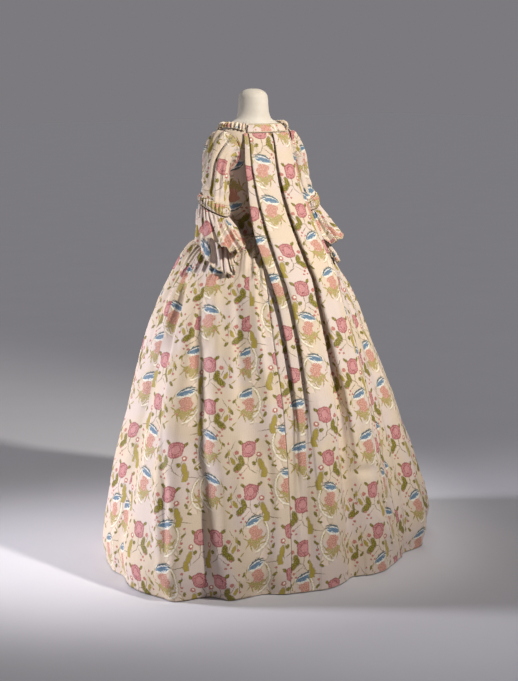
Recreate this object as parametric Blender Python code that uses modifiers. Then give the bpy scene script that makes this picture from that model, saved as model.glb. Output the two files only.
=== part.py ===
"""A robe a la francaise on a limbless dress form.

The sack back hangs from the neckband in two box pleats and opens into a short
train; the side skirts are pleated to the waist over wide hips; elbow sleeves end
in two flounces. Metres, +Z up, the wearer faces -Y, and the origin is the centre
of the stand's underside.
"""
import math
from collections import namedtuple

import bmesh
import bpy
import numpy as np

# ---------------------------------------------------------------- sizes, metres
# The wearer faces -Y, the wearer's left is +X, the train runs to +Y.
WALL = 0.0012          # silk with its backing
GAP = 0.0003           # clearance at a seam
SEAM = 0.0010          # spacing of two walls' edges that slant to each other
WAIST_Z = 1.047        # top edge of the skirts
BODICE_FOOT_Z = 1.0487
NAPE_Z = 1.371         # top edge of the sack, under the neckband
HEM_Z = 0.003
SWING = 0.07           # turn of the train towards the wearer's left
FORM_INSET = 0.0042    # form surface inside the bodice surface

# Bodice surface: ellipses, one row a level.
Level = namedtuple("Level", "z half front back")
TORSO = [
    Level(0.880, 0.146, 0.102, 0.108),
    Level(0.960, 0.134, 0.097, 0.098),
    Level(1.047, 0.113, 0.089, 0.083),
    Level(1.120, 0.118, 0.101, 0.088),
    Level(1.200, 0.125, 0.114, 0.095),
    Level(1.260, 0.129, 0.111, 0.098),
    Level(1.310, 0.134, 0.099, 0.096),
    Level(1.345, 0.138, 0.082, 0.091),
    Level(1.362, 0.136, 0.070, 0.086),
    Level(1.376, 0.130, 0.060, 0.080),
    Level(1.388, 0.117, 0.053, 0.073),
    Level(1.398, 0.098, 0.050, 0.067),
    Level(1.406, 0.078, 0.049, 0.061),
    Level(1.416, 0.063, 0.048, 0.057),
    Level(1.440, 0.055, 0.048, 0.054),
    Level(1.478, 0.052, 0.047, 0.051),
    Level(1.494, 0.0475, 0.043, 0.0465),
    Level(1.503, 0.0385, 0.034, 0.0375),
    Level(1.508, 0.0240, 0.021, 0.0235),
]

# Skirt surface: plan radius of each level at angles measured from the front.
Ring = namedtuple("Ring", "z r0 r30 r60 r90 r110 r130 r150 r180")
RING_ANGLES = (0, 30, 60, 90, 110, 130, 150, 180)
SKIRT = [
    Ring(1.047, 0.090, 0.097, 0.107, 0.113, 0.108, 0.098, 0.090, 0.084),
    Ring(1.040, 0.120, 0.130, 0.146, 0.156, 0.152, 0.138, 0.124, 0.110),
    Ring(1.024, 0.147, 0.165, 0.190, 0.204, 0.201, 0.184, 0.168, 0.150),
    Ring(0.995, 0.171, 0.193, 0.224, 0.242, 0.240, 0.222, 0.214, 0.200),
    Ring(0.950, 0.199, 0.221, 0.253, 0.276, 0.274, 0.256, 0.263, 0.258),
    Ring(0.860, 0.239, 0.263, 0.299, 0.329, 0.328, 0.304, 0.298, 0.291),
    Ring(0.720, 0.283, 0.307, 0.346, 0.386, 0.386, 0.364, 0.355, 0.345),
    Ring(0.560, 0.321, 0.345, 0.388, 0.438, 0.448, 0.428, 0.409, 0.396),
    Ring(0.400, 0.347, 0.373, 0.424, 0.488, 0.508, 0.486, 0.455, 0.432),
    Ring(0.235, 0.367, 0.394, 0.450, 0.533, 0.567, 0.541, 0.498, 0.460),
    Ring(0.100, 0.381, 0.408, 0.468, 0.564, 0.616, 0.580, 0.528, 0.482),
    Ring(0.003, 0.388, 0.415, 0.474, 0.574, 0.636, 0.594, 0.537, 0.490),
]

# Large folds of the side skirts: ridge positive, trough negative. Angles are
# from the front, at hip height and at the hem; reach is where the fold starts.
Fold = namedtuple("Fold", "hip hem reach wide depth")
FOLDS_LEFT = [
    Fold(34, 33, 0.95, 5.5, 0.013),
    Fold(46, 44, 0.84, 5.0, -0.017),
    Fold(58, 51, 0.97, 4.5, 0.017),
    Fold(74, 61, 0.93, 4.2, -0.021),
    Fold(85, 73, 0.98, 5.0, 0.018),
    Fold(94, 92, 0.97, 4.6, -0.018),
    Fold(102, 117, 0.99, 5.2, 0.027),
    Fold(109, 126, 0.97, 4.4, -0.027),
    Fold(125, 132, 0.90, 4.5, 0.017),
    Fold(138, 143, 0.76, 4.0, -0.017),
    Fold(149, 149, 0.88, 3.2, 0.010),
]
FOLDS_RIGHT = [
    Fold(36, 35, 0.90, 5.5, 0.013),
    Fold(50, 49, 0.84, 5.5, -0.017),
    Fold(62, 61, 0.95, 5.0, 0.017),
    Fold(75, 76, 0.88, 5.5, -0.019),
    Fold(87, 90, 0.98, 5.5, 0.020),
    Fold(99, 103, 0.84, 5.0, -0.020),
    Fold(111, 116, 0.94, 5.0, 0.019),
    Fold(123, 127, 0.88, 4.5, -0.018),
    Fold(133, 138, 0.90, 4.5, 0.020),
    Fold(143, 147, 0.80, 4.0, -0.017),
    Fold(151, 154, 0.84, 3.2, 0.009),
    Fold(124, 128, 0.86, 20.0, 0.017),
]

# Sack back: centre line depth, sideways fall-off, and each pleat's edges.
# gap: half the slit; box: outer edge of the box pleat; strip: outer edge of the
# pleat under it; tuck: cloth folded under (below zero the pleat has opened);
# layer: spacing of the folded layers; edge: where the side skirt takes over.
Sack = namedtuple("Sack", "z depth fall gap box strip tuck layer edge")
SACK = [
    Sack(1.371, 0.0853, 2.55, 0.0055, 0.078, 0.090, 0.028, 0.0020, 0.082),
    Sack(1.340, 0.0960, 2.40, 0.0056, 0.080, 0.095, 0.029, 0.0023, 0.087),
    Sack(1.285, 0.1055, 2.20, 0.0058, 0.083, 0.101, 0.030, 0.0030, 0.092),
    Sack(1.190, 0.1300, 1.70, 0.0062, 0.087, 0.110, 0.031, 0.0046, 0.098),
    Sack(1.096, 0.1670, 1.50, 0.0066, 0.090, 0.124, 0.032, 0.0066, 0.112),
    Sack(1.026, 0.2040, 1.40, 0.0070, 0.094, 0.131, 0.032, 0.0082, 0.122),
    Sack(0.950, 0.2500, 1.30, 0.0076, 0.097, 0.130, 0.028, 0.0092, 0.136),
    Sack(0.870, 0.2870, 1.20, 0.0086, 0.093, 0.126, 0.024, 0.0098, 0.146),
    Sack(0.720, 0.3450, 1.10, 0.0125, 0.103, 0.135, 0.014, 0.0100, 0.168),
    Sack(0.560, 0.3960, 1.00, 0.0220, 0.116, 0.148, 0.000, 0.0098, 0.182),
    Sack(0.400, 0.4320, 0.90, 0.0320, 0.128, 0.166, -0.014, 0.0092, 0.200),
    Sack(0.235, 0.4600, 0.80, 0.0390, 0.138, 0.184, -0.024, 0.0080, 0.222),
    Sack(0.100, 0.4820, 0.80, 0.0430, 0.148, 0.200, -0.030, 0.0066, 0.240),
    Sack(0.003, 0.4900, 0.80, 0.0450, 0.154, 0.210, -0.032, 0.0056, 0.250),
]

# Where the bodice pieces end, in degrees from the front: armhole edges of back
# and front, and the front's inner edge.
Edge = namedtuple("Edge", "z back front inner")
BODICE = [
    Edge(1.0487, 91.0, 88.0, 15.5),
    Edge(1.150, 91.0, 88.5, 24.0),
    Edge(1.225, 92.0, 88.0, 31.5),
    Edge(1.244, 96.0, 84.5, 34.0),
    Edge(1.262, 109.0, 75.0, 37.0),
    Edge(1.285, 117.0, 67.0, 41.0),
    Edge(1.310, 120.0, 64.5, 46.0),
    Edge(1.335, 118.5, 65.0, 51.5),
    Edge(1.358, 111.0, 70.0, 58.0),
    Edge(1.374, 99.0, 80.0, 65.0),
    Edge(1.382, 92.5, 88.5, 71.0),
]

# Sleeve: centre, radii and the ring's drop at the back, shoulder to elbow.
Sleeve = namedtuple("Sleeve", "t x y z across along drop")
SLEEVE = [
    Sleeve(0.00, 0.136, 0.004, 1.345, 0.036, 0.058, 0.00),
    Sleeve(0.25, 0.150, 0.006, 1.306, 0.039, 0.056, 0.00),
    Sleeve(0.50, 0.1625, 0.012, 1.250, 0.0375, 0.051, 0.04),
    Sleeve(0.75, 0.1755, 0.024, 1.190, 0.0385, 0.048, 0.20),
    Sleeve(1.00, 0.190, 0.038, 1.137, 0.040, 0.045, 0.42),
]
ARMHOLE = dict(angle=92.5, half_angle=29.0, z=1.311, half_z=0.067, out=0.0045)

# Cuff flounces: lengths inside and outside the elbow, how far each stands out.
Flounce = namedtuple("Flounce", "name start inset short long flare back waves wave clear")
FLOUNCES = [
    Flounce("upper", 0.004, 0.0000, 0.056, 0.098, 0.030, 0.070, 7, 0.0085, 0.020),
    Flounce("lower", 0.004, 0.0042, 0.090, 0.172, 0.026, 0.040, 8, 0.0080, 0.008),
]
CUFF_BAND = dict(start=0.86, out=0.0034)


# ---------------------------------------------------------------- curves
def through(x, xs, ys, flat_ends=False):
    """Smooth value at x through the points (xs, ys), without overshoot."""
    xs, ys, x = np.asarray(xs, float), np.asarray(ys, float), np.asarray(x, float)
    if xs[0] > xs[-1]:
        xs, ys = xs[::-1], ys[::-1]
    h = np.diff(xs)
    d = np.diff(ys) / h
    m = np.zeros_like(ys)
    same = d[:-1] * d[1:] > 0
    w1, w2 = 2 * h[1:] + h[:-1], h[1:] + 2 * h[:-1]
    with np.errstate(divide="ignore", invalid="ignore"):
        inner = (w1 + w2) / (w1 / d[:-1] + w2 / d[1:])
    m[1:-1] = np.where(same, inner, 0.0)
    if not flat_ends:
        m[0], m[-1] = d[0], d[-1]
    x = np.clip(x, xs[0], xs[-1])
    i = np.clip(np.searchsorted(xs, x, side="right") - 1, 0, len(h) - 1)
    t = (x - xs[i]) / h[i]
    a, b = ys[i], ys[i + 1]
    return (
        a * (1 + 2 * t) * (1 - t) ** 2
        + m[i] * h[i] * t * (1 - t) ** 2
        + b * t * t * (3 - 2 * t)
        + m[i + 1] * h[i] * t * t * (t - 1)
    )


def column(table, name):
    return [getattr(row, name) for row in table]


def read(table, name, at, key="z"):
    return through(at, column(table, key), column(table, name))


def ease(x):
    x = np.clip(x, 0.0, 1.0)
    return x * x * (3 - 2 * x)


# ---------------------------------------------------------------- surfaces
def torso(angle, z, out=0.0):
    """Point of the bodice surface at an angle from the front, moved out."""
    angle, z = np.broadcast_arrays(np.asarray(angle, float), np.asarray(z, float))
    a = np.radians(angle)
    half = read(TORSO, "half", z)
    depth = np.where(np.cos(a) > 0, read(TORSO, "front", z), read(TORSO, "back", z))
    s, c = np.sin(a), np.cos(a)
    r = 1.0 / np.sqrt((s / half) ** 2 + (c / depth) ** 2) + out
    return np.stack([r * s, -r * c, z], -1)


def skirt_radius(angle, z):
    """Plan radius of the skirt at an angle (degrees, either side) and height."""
    angle, z = np.broadcast_arrays(np.abs(np.asarray(angle, float)), np.asarray(z, float))
    names = Ring._fields[1:]
    rows = np.stack([read(SKIRT, n, z) for n in names])      # columns at this z
    xs = np.radians(RING_ANGLES)
    a = np.radians(angle)
    out = np.empty(angle.shape)
    flat_a, flat_r = a.reshape(-1), rows.reshape(len(names), -1)
    flat_o = out.reshape(-1)
    h = np.diff(xs)
    d = np.diff(flat_r, axis=0) / h[:, None]
    m = np.zeros_like(flat_r)
    w1, w2 = (2 * h[1:] + h[:-1])[:, None], (h[1:] + 2 * h[:-1])[:, None]
    with np.errstate(divide="ignore", invalid="ignore"):
        inner = (w1 + w2) / (w1 / d[:-1] + w2 / d[1:])
    m[1:-1] = np.where(d[:-1] * d[1:] > 0, inner, 0.0)
    i = np.clip(np.searchsorted(xs, flat_a, side="right") - 1, 0, len(h) - 1)
    k = np.arange(len(flat_a))
    t = (flat_a - xs[i]) / h[i]
    flat_o[:] = (
        flat_r[i, k] * (1 + 2 * t) * (1 - t) ** 2
        + m[i, k] * h[i] * t * (1 - t) ** 2
        + flat_r[i + 1, k] * t * t * (3 - 2 * t)
        + m[i + 1, k] * h[i] * t * t * (t - 1)
    )
    return out


def swing(p):
    """Turns the rear of the skirt a little towards the wearer's left."""
    p = np.array(p, float)
    low, rear = ease((0.9 - p[..., 2]) / 0.9), ease(p[..., 1] / 0.3)
    p[..., 1] += SWING * p[..., 0] * low * rear
    return p


def fold_depth(angle, z, folds):
    """How far the folds move the skirt out at an angle and height."""
    total = np.zeros(np.broadcast(angle, z).shape)
    down = np.clip((WAIST_Z - z) / WAIST_Z, 0, 1)
    for f in folds:
        line = f.hip + (f.hem - f.hip) * down
        grow = ease((f.reach - z) / 0.42) * (0.45 + 0.55 * ease((f.reach - z) / 0.95))
        total = total + f.depth * grow * np.exp(-(((angle - line) / f.wide) ** 2))
    return total


def skirt(angle, z, side=1, out=0.0, folds=None):
    """Point of the skirt surface; side is 1 on the wearer's left, -1 on the right."""
    angle, z = np.broadcast_arrays(np.asarray(angle, float), np.asarray(z, float))
    r = skirt_radius(angle, z) + out
    if folds is not None:
        # folds die out at the rear edge, where the sack's seam lies flat
        rear = through(z, REAR_Z, REAR_ANGLE)
        r = r + fold_depth(angle, z, folds) * ease((rear - angle) / 9.0)
    a = np.radians(angle)
    return swing(np.stack([side * r * np.sin(a), -r * np.cos(a), z], -1))


def back_y(x, z):
    """Depth of the sack's base layer at a sideways place (from the centre line)."""
    x, z = np.broadcast_arrays(np.abs(np.asarray(x, float)), np.asarray(z, float))
    hanging = read(SACK, "depth", z) - read(SACK, "fall", z) * x * x
    fan = np.linspace(95.0, 180.0, 60)
    lying = np.empty(x.shape)
    levels, index = np.unique(z, return_inverse=True)
    index = index.reshape(z.shape)
    for k, level in enumerate(levels):
        r = skirt_radius(fan, np.full_like(fan, level))
        xs, ys = r * np.sin(np.radians(fan)), -r * np.cos(np.radians(fan))
        here = index == k
        lying[here] = np.interp(x[here], xs[::-1], ys[::-1])
    w = ease((0.985 - z) / 0.085)
    return hanging * (1 - w) + lying * w


def sack_corners(z):
    """The half section of the sack at one height: (sideways, outwards) corners."""
    gap, box, strip = (float(read(SACK, n, z)) for n in ("gap", "box", "strip"))
    tuck, layer, edge = (float(read(SACK, n, z)) for n in ("tuck", "layer", "edge"))
    open_ = max(-tuck, 0.0) / 3
    under, over = gap + tuck, box - tuck
    narrow = strip - max(min(tuck, 0.022), -0.020)
    last = max(edge, narrow + 0.004)
    swell = 0.0012 + 0.0060 * float(ease((1.25 - z) / 0.8))
    return [
        (0.0, 0.0),
        (under, 0.0),
        (under + open_, 2 * layer),
        (gap - open_, 2 * layer) if tuck < 0 else (gap, 2 * layer),
        (gap, 4 * layer),
        (0.62 * gap + 0.38 * box, 4 * layer + swell),
        (0.30 * gap + 0.70 * box, 4 * layer + swell),
        (box, 4 * layer),
        (box + open_, 3 * layer) if tuck < 0 else (box, 3 * layer),
        (over - open_, 3 * layer) if tuck < 0 else (over, 3 * layer),
        (over, 2 * layer),
        (strip, 2 * layer),
        (strip + open_ * 0.6, layer) if tuck < 0 else (strip, layer),
        (narrow - open_ * 0.4, layer) if tuck < 0 else (narrow, layer),
        (narrow, 0.0),
        (last, 0.0),
    ]


def sack_points(z, side, corners):
    """Section corners placed on the sack at height z."""
    c = np.asarray(corners, float)
    x, d = c[:, 0], c[:, 1]
    y = back_y(x, np.full_like(x, z))
    slope = (back_y(x + 1e-3, np.full_like(x, z)) - back_y(np.abs(x - 1e-3), np.full_like(x, z))) / 2e-3
    slope = np.where(x < 1e-3, 0.0, slope)
    n = np.stack([-slope, np.ones_like(slope)], -1)
    n /= np.linalg.norm(n, axis=1)[:, None]
    px, py = x + n[:, 0] * d, y + n[:, 1] * d
    return swing(np.stack([side * px, py, np.full_like(px, z)], -1))


def rear_angle(z):
    """Angle of the side skirt's rear edge, where the sack takes over."""
    z = np.asarray(z, float)
    out = np.empty(z.shape)
    fan = np.linspace(95.0, 180.0, 400)
    for k, level in np.ndenumerate(z):
        e = float(read(SACK, "edge", min(level, 0.95))) + SEAM
        r = skirt_radius(fan, np.full_like(fan, level if level < 0.95 else 0.95))
        xs = r * np.sin(np.radians(fan))
        met = float(np.interp(e, xs[::-1], fan[::-1]))
        high = float(np.clip((level - 0.95) / (WAIST_Z - 0.95), 0, 1))
        out[k] = met * (1 - high) + 166.0 * high
    return out


REAR_Z = np.linspace(HEM_Z, WAIST_Z, 24)
REAR_ANGLE = rear_angle(REAR_Z)


def armhole(turn, out):
    """Loop on the bodice surface: turn 0 behind, 90 at the shoulder."""
    a = np.radians(np.asarray(turn, float))
    return torso(
        ARMHOLE["angle"] + ARMHOLE["half_angle"] * np.cos(a),
        ARMHOLE["z"] + ARMHOLE["half_z"] * np.sin(a),
        out,
    )


def clear_of_body(p, room):
    """Moves points that lie too near the bodice straight out to stand clear of it."""
    angle = np.degrees(np.arctan2(p[..., 0], -p[..., 1]))
    body = torso(angle, p[..., 2], room)
    r, need = np.hypot(p[..., 0], p[..., 1]), np.hypot(body[..., 0], body[..., 1])
    scale = np.where((r < need) & (p[..., 2] < 1.376), need / r, 1.0)
    p = np.array(p, float)
    p[..., 0] *= scale
    p[..., 1] *= scale
    return p


def sleeve(t, turn, out=0.0):
    """Point of the left sleeve: t runs from shoulder to elbow, turn goes round."""
    t, turn = np.broadcast_arrays(np.asarray(t, float), np.asarray(turn, float))
    c = np.stack([read(SLEEVE, n, t, "t") for n in ("x", "y", "z")], -1)
    e = 1e-3
    c2 = np.stack([read(SLEEVE, n, np.clip(t + e, 0, 1), "t") for n in ("x", "y", "z")], -1)
    c1 = np.stack([read(SLEEVE, n, np.clip(t - e, 0, 1), "t") for n in ("x", "y", "z")], -1)
    d = c2 - c1
    d /= np.linalg.norm(d, axis=-1)[..., None]
    side = np.stack([-d[..., 2], np.zeros_like(t), d[..., 0]], -1)
    side /= np.linalg.norm(side, axis=-1)[..., None]
    a = np.radians(turn)
    across, along = read(SLEEVE, "across", t, "t") + out, read(SLEEVE, "along", t, "t") + out
    p = c + side * (across * np.sin(a))[..., None]
    p[..., 1] += along * np.cos(a)
    p[..., 2] -= read(SLEEVE, "drop", t, "t") * along * np.cos(a)
    w = ease(t / 0.42)[..., None]
    p = armhole(turn, ARMHOLE["out"] + out) * (1 - w) + p * w
    return clear_of_body(p, ARMHOLE["out"] + 0.0008 + out)


def flounce(row, s, turn):
    """Point of the left cuff flounce: s runs from the band to its lower edge."""
    s, turn = np.broadcast_arrays(np.asarray(s, float), np.asarray(turn, float))
    a = np.radians(turn)
    ring = sleeve(np.full_like(s, 1.0), turn, 0.0026 - row.inset)
    hub = np.array([SLEEVE[-1].x, SLEEVE[-1].y, SLEEVE[-1].z])
    rear = 0.5 + 0.5 * np.cos(a - math.radians(28))          # 1 at the point of the elbow
    length = row.short + (row.long - row.short) * rear ** 1.25
    outward = ring - hub
    outward[..., 2] = 0
    outward /= np.linalg.norm(outward, axis=-1)[..., None]
    wave = row.wave * np.cos(a * row.waves + 0.6) * ease(s * 1.15) * (0.55 + 0.45 * rear)
    fall = np.sin(np.clip(s, 0, 1) * math.pi / 2)
    spread = (row.flare * (0.75 + 0.25 * rear) * s ** 0.8 + wave)
    p = ring + outward * spread[..., None]
    p[..., 1] += row.back * rear * s ** 1.2
    p[..., 2] -= row.start + length * (0.25 * fall + 0.75 * s) * np.where(rear > 0, 1.0, 1.0)
    angle = np.degrees(np.arctan2(p[..., 0], -p[..., 1]))
    r = np.hypot(p[..., 0], p[..., 1])
    # below the waist the flounce bends over the hip, level with or outside it
    z = np.clip(p[..., 2] - 0.009, HEM_Z, WAIST_Z)
    need = skirt_radius(angle, z) + 0.014 * ease((WAIST_Z - z) / 0.2) + row.clear
    lack = np.where(p[..., 2] < WAIST_Z + 0.008, np.maximum(need - r, 0.0), 0.0)
    p[..., 0] += lack * p[..., 0] / r
    p[..., 1] += lack * p[..., 1] / r
    return p


# ---------------------------------------------------------------- modelling
COLLECTION = "robe_a_la_francaise"
SKIRT_FRONT = 24.0       # angle of the open skirt's front edge
LOW_LEVELS = (0.950, 0.870, 0.765, 0.640, 0.510, 0.370, 0.230, 0.105, 0.003)
SKIRT_LEVELS = (1.047, 1.040, 1.024, 0.990) + LOW_LEVELS
SACK_LEVELS = (1.371, 1.335, 1.285, 1.190, 1.096, 1.020) + LOW_LEVELS
SKIRT_STRIPS = 26
SILK = (0.80, 0.74, 0.62)
LINEN = (0.84, 0.82, 0.77)
POLE_RADIUS = 0.016
BASE = dict(radius=0.165, height=0.014)
FORM_FOOT_Z = 0.880

for old in list(bpy.data.objects):
    bpy.data.objects.remove(old)
parts = bpy.data.collections.new(COLLECTION)
bpy.context.scene.collection.children.link(parts)


def material(name, colour, roughness, metallic=0.0):
    m = bpy.data.materials.new(name)
    m.use_nodes = True
    shader = m.node_tree.nodes["Principled BSDF"]
    shader.inputs["Base Color"].default_value = (*colour, 1.0)
    shader.inputs["Roughness"].default_value = roughness
    shader.inputs["Metallic"].default_value = metallic
    return m


def place(name, mesh, colour, roughness=0.55, metallic=0.0):
    obj = bpy.data.objects.new(name, mesh)
    parts.objects.link(obj)
    mesh.materials.append(material(name, colour, roughness, metallic))
    return obj


def sheet(name, rows, colour=SILK, closed=False, wall=WALL, offset=0.0):
    """A cloth wall lofted through sections that all have the same point count."""
    rows = [np.asarray(r, float) for r in rows]
    count = len(rows[0])
    bm = bmesh.new()
    verts = [[bm.verts.new(p) for p in row] for row in rows]
    last = count if closed else count - 1
    for a, b in zip(verts[:-1], verts[1:]):
        for i in range(last):
            j = (i + 1) % count
            bm.faces.new((a[i], a[j], b[j], b[i]))
    bmesh.ops.recalc_face_normals(bm, faces=bm.faces)
    mesh = bpy.data.meshes.new(name)
    bm.to_mesh(mesh)
    bm.free()
    obj = place(name, mesh, colour)
    solid = obj.modifiers.new("wall", "SOLIDIFY")
    solid.thickness = wall
    solid.offset = offset
    solid.use_even_offset = False
    mesh.shade_smooth()
    return obj


def mirrored(rows, side):
    """Rows made for the wearer's left, moved to the given side."""
    return [np.asarray(r) * np.array([side, 1.0, 1.0]) for r in rows]


def side_skirt(name, side, folds):
    rows = []
    for z in SKIRT_LEVELS:
        rear = float(rear_angle(np.array([z]))[0])
        angles = np.linspace(SKIRT_FRONT, rear, SKIRT_STRIPS + 1)
        rows.append(skirt(angles, np.full_like(angles, z), side, 0.0, folds))
    return sheet(name, rows)


def sack(name):
    rows = []
    for z in SACK_LEVELS:
        corners = sack_corners(z)
        right = sack_points(z, -1, corners)[::-1]
        left = sack_points(z, 1, corners)
        rows.append(np.concatenate([right, left[1:]]))
    return sheet(name, rows, wall=0.0011)


def petticoat(name):
    rows = []
    for z in (1.0445, 1.036, 1.015, 0.955, 0.82, 0.60, 0.30, 0.003):
        angles = np.linspace(-SKIRT_FRONT - 4.5, SKIRT_FRONT + 4.5, 13)
        r = skirt_radius(angles, np.full_like(angles, z)) - 0.0085
        wave = 0.004 * np.cos(np.radians(angles) * 22) * float(ease((0.95 - z) / 0.6))
        a = np.radians(angles)
        rows.append(np.stack([(r + wave) * np.sin(a), -(r + wave) * np.cos(a), np.full_like(r, z)], -1))
    return sheet(name, rows)


def bodice_back(name):
    rows = []
    for e in BODICE:
        angles = np.linspace(e.back, 360.0 - e.back, 17)
        rows.append(torso(angles, np.full_like(angles, e.z)))
    return sheet(name, rows)


def bodice_front(name, side):
    rows = []
    for e in BODICE:
        angles = np.linspace(e.inner, e.front, 8)
        rows.append(torso(angles, np.full_like(angles, e.z)))
    return sheet(name, mirrored(rows, side))


def stomacher(name):
    rows = []
    for z in np.linspace(BODICE_FOOT_Z, 1.232, 8):
        reach = float(read(BODICE, "inner", z)) - 1.2
        angles = np.linspace(-reach, reach, 7)
        rows.append(torso(angles, np.full_like(angles, z)))
    return sheet(name, rows)


def sleeve_solid(name, side):
    turns = np.arange(18) * 20.0
    rows = [sleeve(np.full_like(turns, t), turns) for t in (0, 0.14, 0.30, 0.48, 0.66, 0.84, 1.0)]
    return sheet(name, mirrored(rows, side), closed=True)


def cuff_band(name, side):
    """The gathered strip over the flounces' seam, standing proud of the sleeve."""
    turns = np.arange(20) * 18.0
    rows = []
    for t in np.linspace(CUFF_BAND["start"], 1.0, 3):
        rows.append(sleeve(np.full_like(turns, t), turns, CUFF_BAND["out"]))
    return sheet(name, mirrored(rows, side), closed=True)


def flounce_solid(name, side, row):
    turns = np.arange(28) * (360.0 / 28)
    rows = [flounce(row, np.full_like(turns, s), turns) for s in (0, 0.32, 0.66, 1.0)]
    return sheet(name, mirrored(rows, side), closed=True)


def along_neck(side, reach, steps):
    """Centre line of the robing on the bodice, from the neckband to the waist."""
    line = []
    for t in np.linspace(reach[0], reach[1], steps):
        angle = float(through(t, [0, 0.12, 0.24, 0.4, 0.6, 1.0], [128, 104, 80, 60, 44, 20.5]))
        z = float(through(t, [0, 0.12, 0.24, 0.4, 0.6, 1.0], [1.388, 1.394, 1.392, 1.355, 1.270, 1.062]))
        line.append((angle, z))
    return line


def robing(name, side):
    line = along_neck(side, (0.0, 1.0), 18)
    centre = np.array([torso(a, z, 0.0056) for a, z in line])
    normal = []
    for a, z in line:
        u = torso(a + 1.0, z) - torso(a - 1.0, z)
        v = torso(a, z + 0.002) - torso(a, z - 0.002)
        n = np.cross(u, v)
        normal.append(n / np.linalg.norm(n))
    normal = np.array(normal)
    run = np.gradient(centre, axis=0)
    run /= np.linalg.norm(run, axis=1)[:, None]
    across = np.cross(normal, run)
    across /= np.linalg.norm(across, axis=1)[:, None]
    rows = []
    for w in (-0.011, -0.0037, 0.0037, 0.011):
        crown = 0.0022 * (1 - (w / 0.011) ** 2)
        rows.append(centre + across * w + normal * crown)
    return sheet(name, mirrored(rows, side), wall=0.0016)


def neckband(name):
    rows = []
    for z in (1.3725, 1.381, 1.3895, 1.398):
        angles = np.linspace(132.0, 228.0, 17)
        rows.append(torso(angles, np.full_like(angles, z), 0.0068))
    return sheet(name, rows, wall=0.0024)


def form(name):
    turns = np.arange(28) * (360.0 / 28)
    bm = bmesh.new()
    rings = []
    for level in (0.880, 0.96, 1.047, 1.12, 1.2, 1.26, 1.31, 1.345, 1.362, 1.376, 1.388,
                  1.398, 1.406, 1.416, 1.44, 1.478, 1.494, 1.503, 1.508):
        rings.append([bm.verts.new(p) for p in torso(turns, np.full_like(turns, level), -FORM_INSET)])
    for a, b in zip(rings[:-1], rings[1:]):
        for i in range(len(a)):
            j = (i + 1) % len(a)
            bm.faces.new((a[i], a[j], b[j], b[i]))
    bm.faces.new(rings[0][::-1])
    bm.faces.new(rings[-1])
    bmesh.ops.recalc_face_normals(bm, faces=bm.faces)
    mesh = bpy.data.meshes.new(name)
    bm.to_mesh(mesh)
    bm.free()
    mesh.shade_smooth()
    return place(name, mesh, LINEN, 0.8)


def turned(name, radius, low, high, colour, roughness, metallic):
    bm = bmesh.new()
    bmesh.ops.create_cone(bm, cap_ends=True, segments=48, radius1=radius, radius2=radius, depth=high - low)
    bmesh.ops.translate(bm, verts=bm.verts, vec=(0, 0, (high + low) / 2))
    mesh = bpy.data.meshes.new(name)
    bm.to_mesh(mesh)
    bm.free()
    return place(name, mesh, colour, roughness, metallic)


sack("sack_back")
side_skirt("skirt_left", 1, FOLDS_LEFT)
side_skirt("skirt_right", -1, FOLDS_RIGHT)
petticoat("petticoat_front")
bodice_back("bodice_back")
stomacher("stomacher")
neckband("neckband")
for side, word in ((1, "left"), (-1, "right")):
    bodice_front("bodice_front_" + word, side)
    sleeve_solid("sleeve_" + word, side)
    cuff_band("cuff_band_" + word, side)
    robing("robing_" + word, side)
    for row in FLOUNCES:
        flounce_solid("flounce_" + row.name + "_" + word, side, row)
form("form_torso")
turned("stand_pole", POLE_RADIUS, BASE["height"] + GAP, FORM_FOOT_Z - GAP, (0.55, 0.55, 0.56), 0.35, 0.8)
turned("stand_base", BASE["radius"], 0.0, BASE["height"], (0.78, 0.78, 0.76), 0.5, 0.0)
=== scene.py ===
"""A robe a la francaise of ivory brocaded silk on a limbless dress form, seen
from behind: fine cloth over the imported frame, its materials, floor, light and
camera."""
import math
from collections import namedtuple

import bmesh
import bpy
import numpy as np
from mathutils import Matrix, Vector


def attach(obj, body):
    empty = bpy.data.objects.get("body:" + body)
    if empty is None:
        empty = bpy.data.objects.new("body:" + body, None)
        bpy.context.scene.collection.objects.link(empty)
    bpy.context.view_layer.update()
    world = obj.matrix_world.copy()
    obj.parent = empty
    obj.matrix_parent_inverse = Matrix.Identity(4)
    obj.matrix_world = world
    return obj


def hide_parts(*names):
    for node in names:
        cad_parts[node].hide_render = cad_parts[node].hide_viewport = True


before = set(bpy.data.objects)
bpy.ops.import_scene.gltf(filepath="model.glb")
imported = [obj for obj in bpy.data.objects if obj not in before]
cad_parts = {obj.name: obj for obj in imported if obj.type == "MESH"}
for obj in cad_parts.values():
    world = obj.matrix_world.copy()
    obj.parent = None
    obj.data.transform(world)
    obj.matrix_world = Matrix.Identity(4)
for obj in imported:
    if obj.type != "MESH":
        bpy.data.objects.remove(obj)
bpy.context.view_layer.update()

# ---------------------------------------------------------------- sizes, metres
# The wearer faces -Y, the wearer's left is +X, the train runs to +Y.
WALL = 0.0012          # silk with its backing
GAP = 0.0003           # clearance at a seam
SEAM = 0.0010          # spacing of two walls' edges that slant to each other
WAIST_Z = 1.047        # top edge of the skirts
BODICE_FOOT_Z = 1.0487
NAPE_Z = 1.371         # top edge of the sack, under the neckband
HEM_Z = 0.003
SWING = 0.07           # turn of the train towards the wearer's left
FORM_INSET = 0.0042    # form surface inside the bodice surface

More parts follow.
